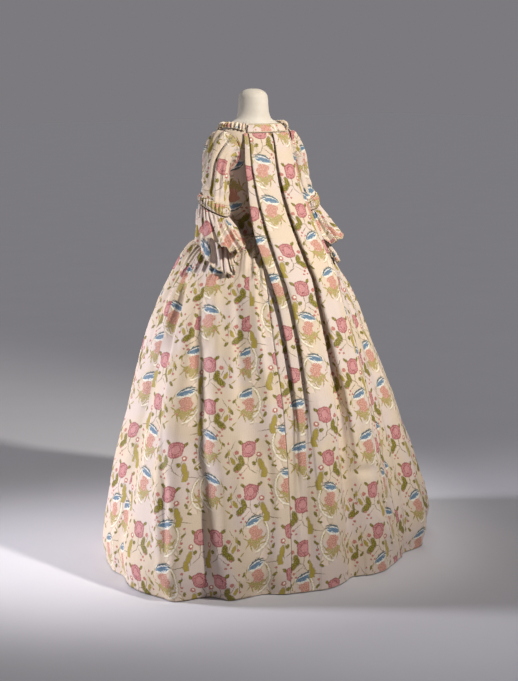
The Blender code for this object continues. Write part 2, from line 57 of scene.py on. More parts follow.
# Bodice surface: ellipses, one row a level.
Level = namedtuple("Level", "z half front back")
TORSO = [
    Level(0.880, 0.146, 0.102, 0.108),
    Level(0.960, 0.134, 0.097, 0.098),
    Level(1.047, 0.113, 0.089, 0.083),
    Level(1.120, 0.118, 0.101, 0.088),
    Level(1.200, 0.125, 0.114, 0.095),
    Level(1.260, 0.129, 0.111, 0.098),
    Level(1.310, 0.134, 0.099, 0.096),
    Level(1.345, 0.138, 0.082, 0.091),
    Level(1.362, 0.136, 0.070, 0.086),
    Level(1.376, 0.130, 0.060, 0.080),
    Level(1.388, 0.117, 0.053, 0.073),
    Level(1.398, 0.098, 0.050, 0.067),
    Level(1.406, 0.078, 0.049, 0.061),
    Level(1.416, 0.063, 0.048, 0.057),
    Level(1.440, 0.055, 0.048, 0.054),
    Level(1.478, 0.052, 0.047, 0.051),
    Level(1.494, 0.0475, 0.043, 0.0465),
    Level(1.503, 0.0385, 0.034, 0.0375),
    Level(1.508, 0.0240, 0.021, 0.0235),
]

# Skirt surface: plan radius of each level at angles measured from the front.
Ring = namedtuple("Ring", "z r0 r30 r60 r90 r110 r130 r150 r180")
RING_ANGLES = (0, 30, 60, 90, 110, 130, 150, 180)
SKIRT = [
    Ring(1.047, 0.090, 0.097, 0.107, 0.113, 0.108, 0.098, 0.090, 0.084),
    Ring(1.040, 0.120, 0.130, 0.146, 0.156, 0.152, 0.138, 0.124, 0.110),
    Ring(1.024, 0.147, 0.165, 0.190, 0.204, 0.201, 0.184, 0.168, 0.150),
    Ring(0.995, 0.171, 0.193, 0.224, 0.242, 0.240, 0.222, 0.214, 0.200),
    Ring(0.950, 0.199, 0.221, 0.253, 0.276, 0.274, 0.256, 0.263, 0.258),
    Ring(0.860, 0.239, 0.263, 0.299, 0.329, 0.328, 0.304, 0.298, 0.291),
    Ring(0.720, 0.283, 0.307, 0.346, 0.386, 0.386, 0.364, 0.355, 0.345),
    Ring(0.560, 0.321, 0.345, 0.388, 0.438, 0.448, 0.428, 0.409, 0.396),
    Ring(0.400, 0.347, 0.373, 0.424, 0.488, 0.508, 0.486, 0.455, 0.432),
    Ring(0.235, 0.367, 0.394, 0.450, 0.533, 0.567, 0.541, 0.498, 0.460),
    Ring(0.100, 0.381, 0.408, 0.468, 0.564, 0.616, 0.580, 0.528, 0.482),
    Ring(0.003, 0.388, 0.415, 0.474, 0.574, 0.636, 0.594, 0.537, 0.490),
]

# Large folds of the side skirts: ridge positive, trough negative. Angles are
# from the front, at hip height and at the hem; reach is where the fold starts.
Fold = namedtuple("Fold", "hip hem reach wide depth")
FOLDS_LEFT = [
    Fold(34, 33, 0.95, 5.5, 0.013),
    Fold(46, 44, 0.84, 5.0, -0.017),
    Fold(58, 51, 0.97, 4.5, 0.017),
    Fold(74, 61, 0.93, 4.2, -0.021),
    Fold(85, 73, 0.98, 5.0, 0.018),
    Fold(94, 92, 0.97, 4.6, -0.018),
    Fold(102, 117, 0.99, 5.2, 0.027),
    Fold(109, 126, 0.97, 4.4, -0.027),
    Fold(125, 132, 0.90, 4.5, 0.017),
    Fold(138, 143, 0.76, 4.0, -0.017),
    Fold(149, 149, 0.88, 3.2, 0.010),
]
FOLDS_RIGHT = [
    Fold(36, 35, 0.90, 5.5, 0.013),
    Fold(50, 49, 0.84, 5.5, -0.017),
    Fold(62, 61, 0.95, 5.0, 0.017),
    Fold(75, 76, 0.88, 5.5, -0.019),
    Fold(87, 90, 0.98, 5.5, 0.020),
    Fold(99, 103, 0.84, 5.0, -0.020),
    Fold(111, 116, 0.94, 5.0, 0.019),
    Fold(123, 127, 0.88, 4.5, -0.018),
    Fold(133, 138, 0.90, 4.5, 0.020),
    Fold(143, 147, 0.80, 4.0, -0.017),
    Fold(151, 154, 0.84, 3.2, 0.009),
    Fold(124, 128, 0.86, 20.0, 0.017),
]

# Sack back: centre line depth, sideways fall-off, and each pleat's edges.
# gap: half the slit; box: outer edge of the box pleat; strip: outer edge of the
# pleat under it; tuck: cloth folded under (below zero the pleat has opened);
# layer: spacing of the folded layers; edge: where the side skirt takes over.
Sack = namedtuple("Sack", "z depth fall gap box strip tuck layer edge")
SACK = [
    Sack(1.371, 0.0853, 2.55, 0.0055, 0.078, 0.090, 0.028, 0.0020, 0.082),
    Sack(1.340, 0.0960, 2.40, 0.0056, 0.080, 0.095, 0.029, 0.0023, 0.087),
    Sack(1.285, 0.1055, 2.20, 0.0058, 0.083, 0.101, 0.030, 0.0030, 0.092),
    Sack(1.190, 0.1300, 1.70, 0.0062, 0.087, 0.110, 0.031, 0.0046, 0.098),
    Sack(1.096, 0.1670, 1.50, 0.0066, 0.090, 0.124, 0.032, 0.0066, 0.112),
    Sack(1.026, 0.2040, 1.40, 0.0070, 0.094, 0.131, 0.032, 0.0082, 0.122),
    Sack(0.950, 0.2500, 1.30, 0.0076, 0.097, 0.130, 0.028, 0.0092, 0.136),
    Sack(0.870, 0.2870, 1.20, 0.0086, 0.093, 0.126, 0.024, 0.0098, 0.146),
    Sack(0.720, 0.3450, 1.10, 0.0125, 0.103, 0.135, 0.014, 0.0100, 0.168),
    Sack(0.560, 0.3960, 1.00, 0.0220, 0.116, 0.148, 0.000, 0.0098, 0.182),
    Sack(0.400, 0.4320, 0.90, 0.0320, 0.128, 0.166, -0.014, 0.0092, 0.200),
    Sack(0.235, 0.4600, 0.80, 0.0390, 0.138, 0.184, -0.024, 0.0080, 0.222),
    Sack(0.100, 0.4820, 0.80, 0.0430, 0.148, 0.200, -0.030, 0.0066, 0.240),
    Sack(0.003, 0.4900, 0.80, 0.0450, 0.154, 0.210, -0.032, 0.0056, 0.250),
]

# Where the bodice pieces end, in degrees from the front: armhole edges of back
# and front, and the front's inner edge.
Edge = namedtuple("Edge", "z back front inner")
BODICE = [
    Edge(1.0487, 91.0, 88.0, 15.5),
    Edge(1.150, 91.0, 88.5, 24.0),
    Edge(1.225, 92.0, 88.0, 31.5),
    Edge(1.244, 96.0, 84.5, 34.0),
    Edge(1.262, 109.0, 75.0, 37.0),
    Edge(1.285, 117.0, 67.0, 41.0),
    Edge(1.310, 120.0, 64.5, 46.0),
    Edge(1.335, 118.5, 65.0, 51.5),
    Edge(1.358, 111.0, 70.0, 58.0),
    Edge(1.374, 99.0, 80.0, 65.0),
    Edge(1.382, 92.5, 88.5, 71.0),
]

# Sleeve: centre, radii and the ring's drop at the back, shoulder to elbow.
Sleeve = namedtuple("Sleeve", "t x y z across along drop")
SLEEVE = [
    Sleeve(0.00, 0.136, 0.004, 1.345, 0.036, 0.058, 0.00),
    Sleeve(0.25, 0.150, 0.006, 1.306, 0.039, 0.056, 0.00),
    Sleeve(0.50, 0.1625, 0.012, 1.250, 0.0375, 0.051, 0.04),
    Sleeve(0.75, 0.1755, 0.024, 1.190, 0.0385, 0.048, 0.20),
    Sleeve(1.00, 0.190, 0.038, 1.137, 0.040, 0.045, 0.42),
]
ARMHOLE = dict(angle=92.5, half_angle=29.0, z=1.311, half_z=0.067, out=0.0045)

# Cuff flounces: lengths inside and outside the elbow, how far each stands out.
Flounce = namedtuple("Flounce", "name start inset short long flare back waves wave clear")
FLOUNCES = [
    Flounce("upper", 0.004, 0.0000, 0.056, 0.098, 0.030, 0.070, 7, 0.0085, 0.020),
    Flounce("lower", 0.004, 0.0042, 0.090, 0.172, 0.026, 0.040, 8, 0.0080, 0.008),
]
CUFF_BAND = dict(start=0.86, out=0.0034)


# ---------------------------------------------------------------- curves
def through(x, xs, ys, flat_ends=False):
    """Smooth value at x through the points (xs, ys), without overshoot."""
    xs, ys, x = np.asarray(xs, float), np.asarray(ys, float), np.asarray(x, float)
    if xs[0] > xs[-1]:
        xs, ys = xs[::-1], ys[::-1]
    h = np.diff(xs)
    d = np.diff(ys) / h
    m = np.zeros_like(ys)
    same = d[:-1] * d[1:] > 0
    w1, w2 = 2 * h[1:] + h[:-1], h[1:] + 2 * h[:-1]
    with np.errstate(divide="ignore", invalid="ignore"):
        inner = (w1 + w2) / (w1 / d[:-1] + w2 / d[1:])
    m[1:-1] = np.where(same, inner, 0.0)
    if not flat_ends:
        m[0], m[-1] = d[0], d[-1]
    x = np.clip(x, xs[0], xs[-1])
    i = np.clip(np.searchsorted(xs, x, side="right") - 1, 0, len(h) - 1)
    t = (x - xs[i]) / h[i]
    a, b = ys[i], ys[i + 1]
    return (
        a * (1 + 2 * t) * (1 - t) ** 2
        + m[i] * h[i] * t * (1 - t) ** 2
        + b * t * t * (3 - 2 * t)
        + m[i + 1] * h[i] * t * t * (t - 1)
    )


def column(table, name):
    return [getattr(row, name) for row in table]


def read(table, name, at, key="z"):
    return through(at, column(table, key), column(table, name))


def ease(x):
    x = np.clip(x, 0.0, 1.0)
    return x * x * (3 - 2 * x)


# ---------------------------------------------------------------- surfaces
def torso(angle, z, out=0.0):
    """Point of the bodice surface at an angle from the front, moved out."""
    angle, z = np.broadcast_arrays(np.asarray(angle, float), np.asarray(z, float))
    a = np.radians(angle)
    half = read(TORSO, "half", z)
    depth = np.where(np.cos(a) > 0, read(TORSO, "front", z), read(TORSO, "back", z))
    s, c = np.sin(a), np.cos(a)
    r = 1.0 / np.sqrt((s / half) ** 2 + (c / depth) ** 2) + out
    return np.stack([r * s, -r * c, z], -1)


def skirt_radius(angle, z):
    """Plan radius of the skirt at an angle (degrees, either side) and height."""
    angle, z = np.broadcast_arrays(np.abs(np.asarray(angle, float)), np.asarray(z, float))
    names = Ring._fields[1:]
    rows = np.stack([read(SKIRT, n, z) for n in names])      # columns at this z
    xs = np.radians(RING_ANGLES)
    a = np.radians(angle)
    out = np.empty(angle.shape)
    flat_a, flat_r = a.reshape(-1), rows.reshape(len(names), -1)
    flat_o = out.reshape(-1)
    h = np.diff(xs)
    d = np.diff(flat_r, axis=0) / h[:, None]
    m = np.zeros_like(flat_r)
    w1, w2 = (2 * h[1:] + h[:-1])[:, None], (h[1:] + 2 * h[:-1])[:, None]
    with np.errstate(divide="ignore", invalid="ignore"):
        inner = (w1 + w2) / (w1 / d[:-1] + w2 / d[1:])
    m[1:-1] = np.where(d[:-1] * d[1:] > 0, inner, 0.0)
    i = np.clip(np.searchsorted(xs, flat_a, side="right") - 1, 0, len(h) - 1)
    k = np.arange(len(flat_a))
    t = (flat_a - xs[i]) / h[i]
    flat_o[:] = (
        flat_r[i, k] * (1 + 2 * t) * (1 - t) ** 2
        + m[i, k] * h[i] * t * (1 - t) ** 2
        + flat_r[i + 1, k] * t * t * (3 - 2 * t)
        + m[i + 1, k] * h[i] * t * t * (t - 1)
    )
    return out


def swing(p):
    """Turns the rear of the skirt a little towards the wearer's left."""
    p = np.array(p, float)
    low, rear = ease((0.9 - p[..., 2]) / 0.9), ease(p[..., 1] / 0.3)
    p[..., 1] += SWING * p[..., 0] * low * rear
    return p


def fold_depth(angle, z, folds):
    """How far the folds move the skirt out at an angle and height."""
    total = np.zeros(np.broadcast(angle, z).shape)
    down = np.clip((WAIST_Z - z) / WAIST_Z, 0, 1)
    for f in folds:
        line = f.hip + (f.hem - f.hip) * down
        grow = ease((f.reach - z) / 0.42) * (0.45 + 0.55 * ease((f.reach - z) / 0.95))
        total = total + f.depth * grow * np.exp(-(((angle - line) / f.wide) ** 2))
    return total


def skirt(angle, z, side=1, out=0.0, folds=None):
    """Point of the skirt surface; side is 1 on the wearer's left, -1 on the right."""
    angle, z = np.broadcast_arrays(np.asarray(angle, float), np.asarray(z, float))
    r = skirt_radius(angle, z) + out
    if folds is not None:
        # folds die out at the rear edge, where the sack's seam lies flat
        rear = through(z, REAR_Z, REAR_ANGLE)
        r = r + fold_depth(angle, z, folds) * ease((rear - angle) / 9.0)
    a = np.radians(angle)
    return swing(np.stack([side * r * np.sin(a), -r * np.cos(a), z], -1))


def back_y(x, z):
    """Depth of the sack's base layer at a sideways place (from the centre line)."""
    x, z = np.broadcast_arrays(np.abs(np.asarray(x, float)), np.asarray(z, float))
    hanging = read(SACK, "depth", z) - read(SACK, "fall", z) * x * x
    fan = np.linspace(95.0, 180.0, 60)
    lying = np.empty(x.shape)
    levels, index = np.unique(z, return_inverse=True)
    index = index.reshape(z.shape)
    for k, level in enumerate(levels):
        r = skirt_radius(fan, np.full_like(fan, level))
        xs, ys = r * np.sin(np.radians(fan)), -r * np.cos(np.radians(fan))
        here = index == k
        lying[here] = np.interp(x[here], xs[::-1], ys[::-1])
    w = ease((0.985 - z) / 0.085)
    return hanging * (1 - w) + lying * w


def sack_corners(z):
    """The half section of the sack at one height: (sideways, outwards) corners."""
    gap, box, strip = (float(read(SACK, n, z)) for n in ("gap", "box", "strip"))
    tuck, layer, edge = (float(read(SACK, n, z)) for n in ("tuck", "layer", "edge"))
    open_ = max(-tuck, 0.0) / 3
    under, over = gap + tuck, box - tuck
    narrow = strip - max(min(tuck, 0.022), -0.020)
    last = max(edge, narrow + 0.004)
    swell = 0.0012 + 0.0060 * float(ease((1.25 - z) / 0.8))
    return [
        (0.0, 0.0),
        (under, 0.0),
        (under + open_, 2 * layer),
        (gap - open_, 2 * layer) if tuck < 0 else (gap, 2 * layer),
        (gap, 4 * layer),
        (0.62 * gap + 0.38 * box, 4 * layer + swell),
        (0.30 * gap + 0.70 * box, 4 * layer + swell),
        (box, 4 * layer),
        (box + open_, 3 * layer) if tuck < 0 else (box, 3 * layer),
        (over - open_, 3 * layer) if tuck < 0 else (over, 3 * layer),
        (over, 2 * layer),
        (strip, 2 * layer),
        (strip + open_ * 0.6, layer) if tuck < 0 else (strip, layer),
        (narrow - open_ * 0.4, layer) if tuck < 0 else (narrow, layer),
        (narrow, 0.0),
        (last, 0.0),
    ]


def sack_points(z, side, corners):
    """Section corners placed on the sack at height z."""
    c = np.asarray(corners, float)
    x, d = c[:, 0], c[:, 1]
    y = back_y(x, np.full_like(x, z))
    slope = (back_y(x + 1e-3, np.full_like(x, z)) - back_y(np.abs(x - 1e-3), np.full_like(x, z))) / 2e-3
    slope = np.where(x < 1e-3, 0.0, slope)
    n = np.stack([-slope, np.ones_like(slope)], -1)
    n /= np.linalg.norm(n, axis=1)[:, None]
    px, py = x + n[:, 0] * d, y + n[:, 1] * d
    return swing(np.stack([side * px, py, np.full_like(px, z)], -1))


def rear_angle(z):
    """Angle of the side skirt's rear edge, where the sack takes over."""
    z = np.asarray(z, float)
    out = np.empty(z.shape)
    fan = np.linspace(95.0, 180.0, 400)
    for k, level in np.ndenumerate(z):
        e = float(read(SACK, "edge", min(level, 0.95))) + SEAM
        r = skirt_radius(fan, np.full_like(fan, level if level < 0.95 else 0.95))
        xs = r * np.sin(np.radians(fan))
        met = float(np.interp(e, xs[::-1], fan[::-1]))
        high = float(np.clip((level - 0.95) / (WAIST_Z - 0.95), 0, 1))
        out[k] = met * (1 - high) + 166.0 * high
    return out


REAR_Z = np.linspace(HEM_Z, WAIST_Z, 24)
REAR_ANGLE = rear_angle(REAR_Z)


def armhole(turn, out):
    """Loop on the bodice surface: turn 0 behind, 90 at the shoulder."""
    a = np.radians(np.asarray(turn, float))
    return torso(
        ARMHOLE["angle"] + ARMHOLE["half_angle"] * np.cos(a),
        ARMHOLE["z"] + ARMHOLE["half_z"] * np.sin(a),
        out,
    )


def clear_of_body(p, room):
    """Moves points that lie too near the bodice straight out to stand clear of it."""
    angle = np.degrees(np.arctan2(p[..., 0], -p[..., 1]))
    body = torso(angle, p[..., 2], room)
    r, need = np.hypot(p[..., 0], p[..., 1]), np.hypot(body[..., 0], body[..., 1])
    scale = np.where((r < need) & (p[..., 2] < 1.376), need / r, 1.0)
    p = np.array(p, float)
    p[..., 0] *= scale
    p[..., 1] *= scale
    return p


def sleeve(t, turn, out=0.0):
    """Point of the left sleeve: t runs from shoulder to elbow, turn goes round."""
    t, turn = np.broadcast_arrays(np.asarray(t, float), np.asarray(turn, float))
    c = np.stack([read(SLEEVE, n, t, "t") for n in ("x", "y", "z")], -1)
    e = 1e-3
    c2 = np.stack([read(SLEEVE, n, np.clip(t + e, 0, 1), "t") for n in ("x", "y", "z")], -1)
    c1 = np.stack([read(SLEEVE, n, np.clip(t - e, 0, 1), "t") for n in ("x", "y", "z")], -1)
    d = c2 - c1
    d /= np.linalg.norm(d, axis=-1)[..., None]
    side = np.stack([-d[..., 2], np.zeros_like(t), d[..., 0]], -1)
    side /= np.linalg.norm(side, axis=-1)[..., None]
    a = np.radians(turn)
    across, along = read(SLEEVE, "across", t, "t") + out, read(SLEEVE, "along", t, "t") + out
    p = c + side * (across * np.sin(a))[..., None]
    p[..., 1] += along * np.cos(a)
    p[..., 2] -= read(SLEEVE, "drop", t, "t") * along * np.cos(a)
    w = ease(t / 0.42)[..., None]
    p = armhole(turn, ARMHOLE["out"] + out) * (1 - w) + p * w
    return clear_of_body(p, ARMHOLE["out"] + 0.0008 + out)


def flounce(row, s, turn):
    """Point of the left cuff flounce: s runs from the band to its lower edge."""
    s, turn = np.broadcast_arrays(np.asarray(s, float), np.asarray(turn, float))
    a = np.radians(turn)
    ring = sleeve(np.full_like(s, 1.0), turn, 0.0026 - row.inset)
    hub = np.array([SLEEVE[-1].x, SLEEVE[-1].y, SLEEVE[-1].z])
    rear = 0.5 + 0.5 * np.cos(a - math.radians(28))          # 1 at the point of the elbow
    length = row.short + (row.long - row.short) * rear ** 1.25
    outward = ring - hub
    outward[..., 2] = 0
    outward /= np.linalg.norm(outward, axis=-1)[..., None]
    wave = row.wave * np.cos(a * row.waves + 0.6) * ease(s * 1.15) * (0.55 + 0.45 * rear)
    fall = np.sin(np.clip(s, 0, 1) * math.pi / 2)
    spread = (row.flare * (0.75 + 0.25 * rear) * s ** 0.8 + wave)
    p = ring + outward * spread[..., None]
    p[..., 1] += row.back * rear * s ** 1.2
    p[..., 2] -= row.start + length * (0.25 * fall + 0.75 * s) * np.where(rear > 0, 1.0, 1.0)
    angle = np.degrees(np.arctan2(p[..., 0], -p[..., 1]))
    r = np.hypot(p[..., 0], p[..., 1])
    # below the waist the flounce bends over the hip, level with or outside it
    z = np.clip(p[..., 2] - 0.009, HEM_Z, WAIST_Z)
    need = skirt_radius(angle, z) + 0.014 * ease((WAIST_Z - z) / 0.2) + row.clear
    lack = np.where(p[..., 2] < WAIST_Z + 0.008, np.maximum(need - r, 0.0), 0.0)
    p[..., 0] += lack * p[..., 0] / r
    p[..., 1] += lack * p[..., 1] / r
    return p


# ---------------------------------------------------------------- meshes
WALL_SHOWN = 0.0009
TRI_LIMIT = 200000


def lengths(p, axis):
    """Running length of a grid of points along one of its axes."""
    step = np.linalg.norm(np.diff(p, axis=axis), axis=-1)
    zero = np.zeros_like(np.take(step, [0], axis=axis))
    return np.cumsum(np.concatenate([zero, step], axis=axis), axis=axis)


def normals(p, closed=False):
    """Unit normals of a grid of points, rows by columns."""
    q = np.concatenate([p[:, -1:], p, p[:, :1]], axis=1) if closed else p
    u = np.gradient(q, axis=1)
    if closed:
        u = u[:, 1:-1]
    n = np.cross(u, np.gradient(p, axis=0))
    return n / np.maximum(np.linalg.norm(n, axis=-1), 1e-12)[..., None]


def outward(p, n, middle):
    """The normals turned, all together, away from a middle."""
    return n if np.sum((p - middle) * n) > 0 else -n


def hashed(i, seed):
    """A number from 0 to 1 for each whole number, the same each run."""
    v = np.sin(np.asarray(i, float) * 12.9898 + seed * 78.233) * 43758.5453
    return v - np.floor(v)


def soft_noise(a, b, seed=0.0):
    """Smooth noise from -1 to 1 over two coordinates, one unit a bump."""
    a, b = np.broadcast_arrays(np.asarray(a, float), np.asarray(b, float))
    i, j = np.floor(a), np.floor(b)
    u, v = ease(a - i), ease(b - j)
    at = lambda di, dj: hashed((i + di) * 57.0 + (j + dj) * 131.0, seed)
    low = at(0, 0) * (1 - u) + at(1, 0) * u
    high = at(0, 1) * (1 - u) + at(1, 1) * u
    return 2 * (low * (1 - v) + high * v) - 1


def grid(name, p, uv, material, closed=False, wall=WALL_SHOWN, middle=None, edge=None, edge_rows=(), edge_cols=()):
    """A cloth piece: quads through the points, UVs per corner, and a thin wall."""
    rows, cols = p.shape[:2]
    middle = np.zeros(3) if middle is None else middle
    flipped = np.sum((p - middle) * normals(p, closed)) < 0
    spans = cols if closed else cols - 1
    i, j = np.meshgrid(np.arange(rows - 1), np.arange(spans), indexing="ij")
    k = (j + 1) % cols
    quads = np.stack([i * cols + j, i * cols + k, (i + 1) * cols + k, (i + 1) * cols + j], -1).reshape(-1, 4)
    if uv.ndim == 3:            # one value a point, the closing column given again
        uv = np.stack([uv[:-1, :spans], uv[:-1, 1:spans + 1], uv[1:, 1:spans + 1], uv[1:, :spans]], 2)
    uv = uv.reshape(-1, 4, 2)
    if flipped:
        quads, uv = quads[:, ::-1], uv[:, ::-1]
    mesh = bpy.data.meshes.new(name)
    mesh.vertices.add(rows * cols)
    mesh.vertices.foreach_set("co", p.reshape(-1).astype(np.float32))
    mesh.loops.add(quads.size)
    mesh.loops.foreach_set("vertex_index", quads.reshape(-1).astype(np.int32))
    mesh.polygons.add(len(quads))
    mesh.polygons.foreach_set("loop_start", np.arange(0, quads.size, 4, dtype=np.int32))
    mesh.update(calc_edges=True)
    layer = mesh.uv_layers.new(name="cloth")
    layer.data.foreach_set("uv", uv.reshape(-1).astype(np.float32))
    mesh.materials.append(material)
    if edge is not None:
        mesh.materials.append(edge)
        paint = np.isin(i, [r % (rows - 1) for r in edge_rows]) | np.isin(j, [c % spans for c in edge_cols])
        mesh.polygons.foreach_set("material_index", paint.reshape(-1).astype(np.int32))
    mesh.shade_smooth()
    obj = bpy.data.objects.new(name, mesh)
    bpy.context.scene.collection.objects.link(obj)
    if wall:
        solid = obj.modifiers.new("wall", "SOLIDIFY")
        solid.thickness = wall
        solid.offset = 0.0
        solid.use_even_offset = False
    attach(obj, "root")
    obj["area"] = float(np.sum(area_of(p, closed)))
    return obj


def area_of(p, closed=False):
    q = np.concatenate([p, p[:, :1]], axis=1) if closed else p
    a, b, c, d = q[:-1, :-1], q[:-1, 1:], q[1:, 1:], q[1:, :-1]
    return 0.5 * (np.linalg.norm(np.cross(b - a, c - a), axis=-1) + np.linalg.norm(np.cross(c - a, d - a), axis=-1))


def plain_uv(p, closed=False, start=(0.0, 0.0), middle_col=0.5):
    """UVs by length: across each row from its middle, and up the middle column."""
    q = np.concatenate([p, p[:, :1]], axis=1) if closed else p
    across, down = lengths(q, 1), lengths(q, 0)
    c = int(round(middle_col * (q.shape[1] - 1)))
    u = across - across[:, c:c + 1]
    v = -down[:, c:c + 1] + 0 * u
    return np.stack([u + start[0], v + start[1]], -1)


# ---------------------------------------------------------------- creases
# Small folds pressed into the side skirts: place at the top and bottom in
# degrees and metres, half width of the gentle and the sharp side, and depth.
Crease = namedtuple("Crease", "top_angle top_z low_angle low_z gentle sharp depth")
CREASES_LEFT = [
    Crease(96, 0.93, 102, 0.66, 0.030, 0.012, -0.0170),
    Crease(99, 0.86, 108, 0.40, 0.016, 0.020, 0.0093),
    Crease(103, 0.62, 113, 0.08, 0.016, 0.012, 0.0078),
    Crease(108, 0.40, 116, 0.04, 0.014, 0.018, -0.0093),
    Crease(110, 0.92, 118, 0.50, 0.014, 0.030, -0.0093),
    Crease(117, 0.95, 123, 0.70, 0.016, 0.024, 0.0078),
    Crease(122, 0.30, 127, 0.01, 0.020, 0.016, -0.0109),
    Crease(121, 0.80, 129, 0.30, 0.030, 0.022, 0.0078),
    Crease(131, 0.93, 136, 0.50, 0.018, 0.026, -0.0078),
    Crease(135, 0.52, 138, 0.05, 0.026, 0.022, 0.0078),
    Crease(142, 0.95, 147, 0.55, 0.020, 0.014, 0.0078),
    Crease(145, 0.46, 147, 0.12, 0.018, 0.024, -0.0078),
    Crease(90, 0.99, 93, 0.74, 0.014, 0.020, 0.0101),
    Crease(84, 0.97, 84, 0.62, 0.020, 0.014, -0.0093),
    Crease(78, 0.90, 70, 0.40, 0.016, 0.022, 0.0085),
    Crease(72, 0.99, 63, 0.86, 0.012, 0.018, -0.0155),
    Crease(66, 0.80, 58, 0.24, 0.018, 0.012, 0.0093),
    Crease(53, 0.98, 50, 0.60, 0.020, 0.014, -0.0093),
    Crease(44, 0.90, 42, 0.35, 0.016, 0.024, 0.0070),
    Crease(38, 0.70, 38, 0.10, 0.020, 0.020, -0.0062),
    Crease(29, 0.96, 29, 0.30, 0.014, 0.024, 0.0062),
]
CREASES_RIGHT = [
    Crease(31, 0.95, 30, 0.42, 0.016, 0.024, 0.0070),
    Crease(43, 0.88, 41, 0.30, 0.018, 0.022, -0.0078),
    Crease(56, 0.98, 53, 0.66, 0.020, 0.014, -0.0109),
    Crease(69, 0.84, 66, 0.20, 0.018, 0.014, 0.0085),
    Crease(73, 0.99, 68, 0.84, 0.012, 0.018, -0.0139),
    Crease(82, 0.92, 82, 0.46, 0.018, 0.020, 0.0093),
    Crease(90, 0.98, 93, 0.68, 0.014, 0.020, -0.0109),
    Crease(97, 0.70, 99, 0.10, 0.024, 0.016, 0.0085),
    Crease(106, 0.94, 111, 0.50, 0.014, 0.024, -0.0116),
    Crease(112, 0.44, 119, 0.03, 0.018, 0.020, 0.0085),
    Crease(121, 0.96, 123, 0.62, 0.022, 0.014, 0.0093),
    Crease(129, 0.72, 134, 0.16, 0.020, 0.024, 0.0078),
    Crease(137, 0.95, 141, 0.56, 0.016, 0.022, -0.0085),
    Crease(146, 0.60, 149, 0.06, 0.022, 0.018, 0.0078),
]


def pressed(p, n, angle, z, creases):
    """Moves skirt points along their normals by the creases' depths."""
    r = np.hypot(p[..., 0], p[..., 1])
    move = np.zeros(z.shape)
    for c in creases:
        t = (c.top_z - z) / (c.top_z - c.low_z)
        bow = 0.8 * np.sin(np.clip(t, 0, 1) * math.pi * 1.3 + c.top_angle)
        line = c.top_angle + (c.low_angle - c.top_angle) * t + bow
        d = np.radians(angle - line) * r
        width = np.where(d < 0, c.gentle, c.sharp) * (0.65 + 0.45 * np.clip(t, 0, 1))
        move += c.depth * ease(t / 0.28 + 0.05) * ease((1 - t) / 0.35 + 0.05) * np.exp(-((d / width) ** 2))
    return p + n * move[..., None]


# ---------------------------------------------------------------- skirts
# Loom widths of the side skirts meet in the troughs: angle at hip and hem.
Join = namedtuple("Join", "hip hem")
JOINS_LEFT = [Join(46, 44), Join(74, 61), Join(93, 90), Join(109, 126), Join(138, 143)]
JOINS_RIGHT = [Join(50, 49), Join(75, 76), Join(99, 103), Join(123, 127), Join(143, 147)]


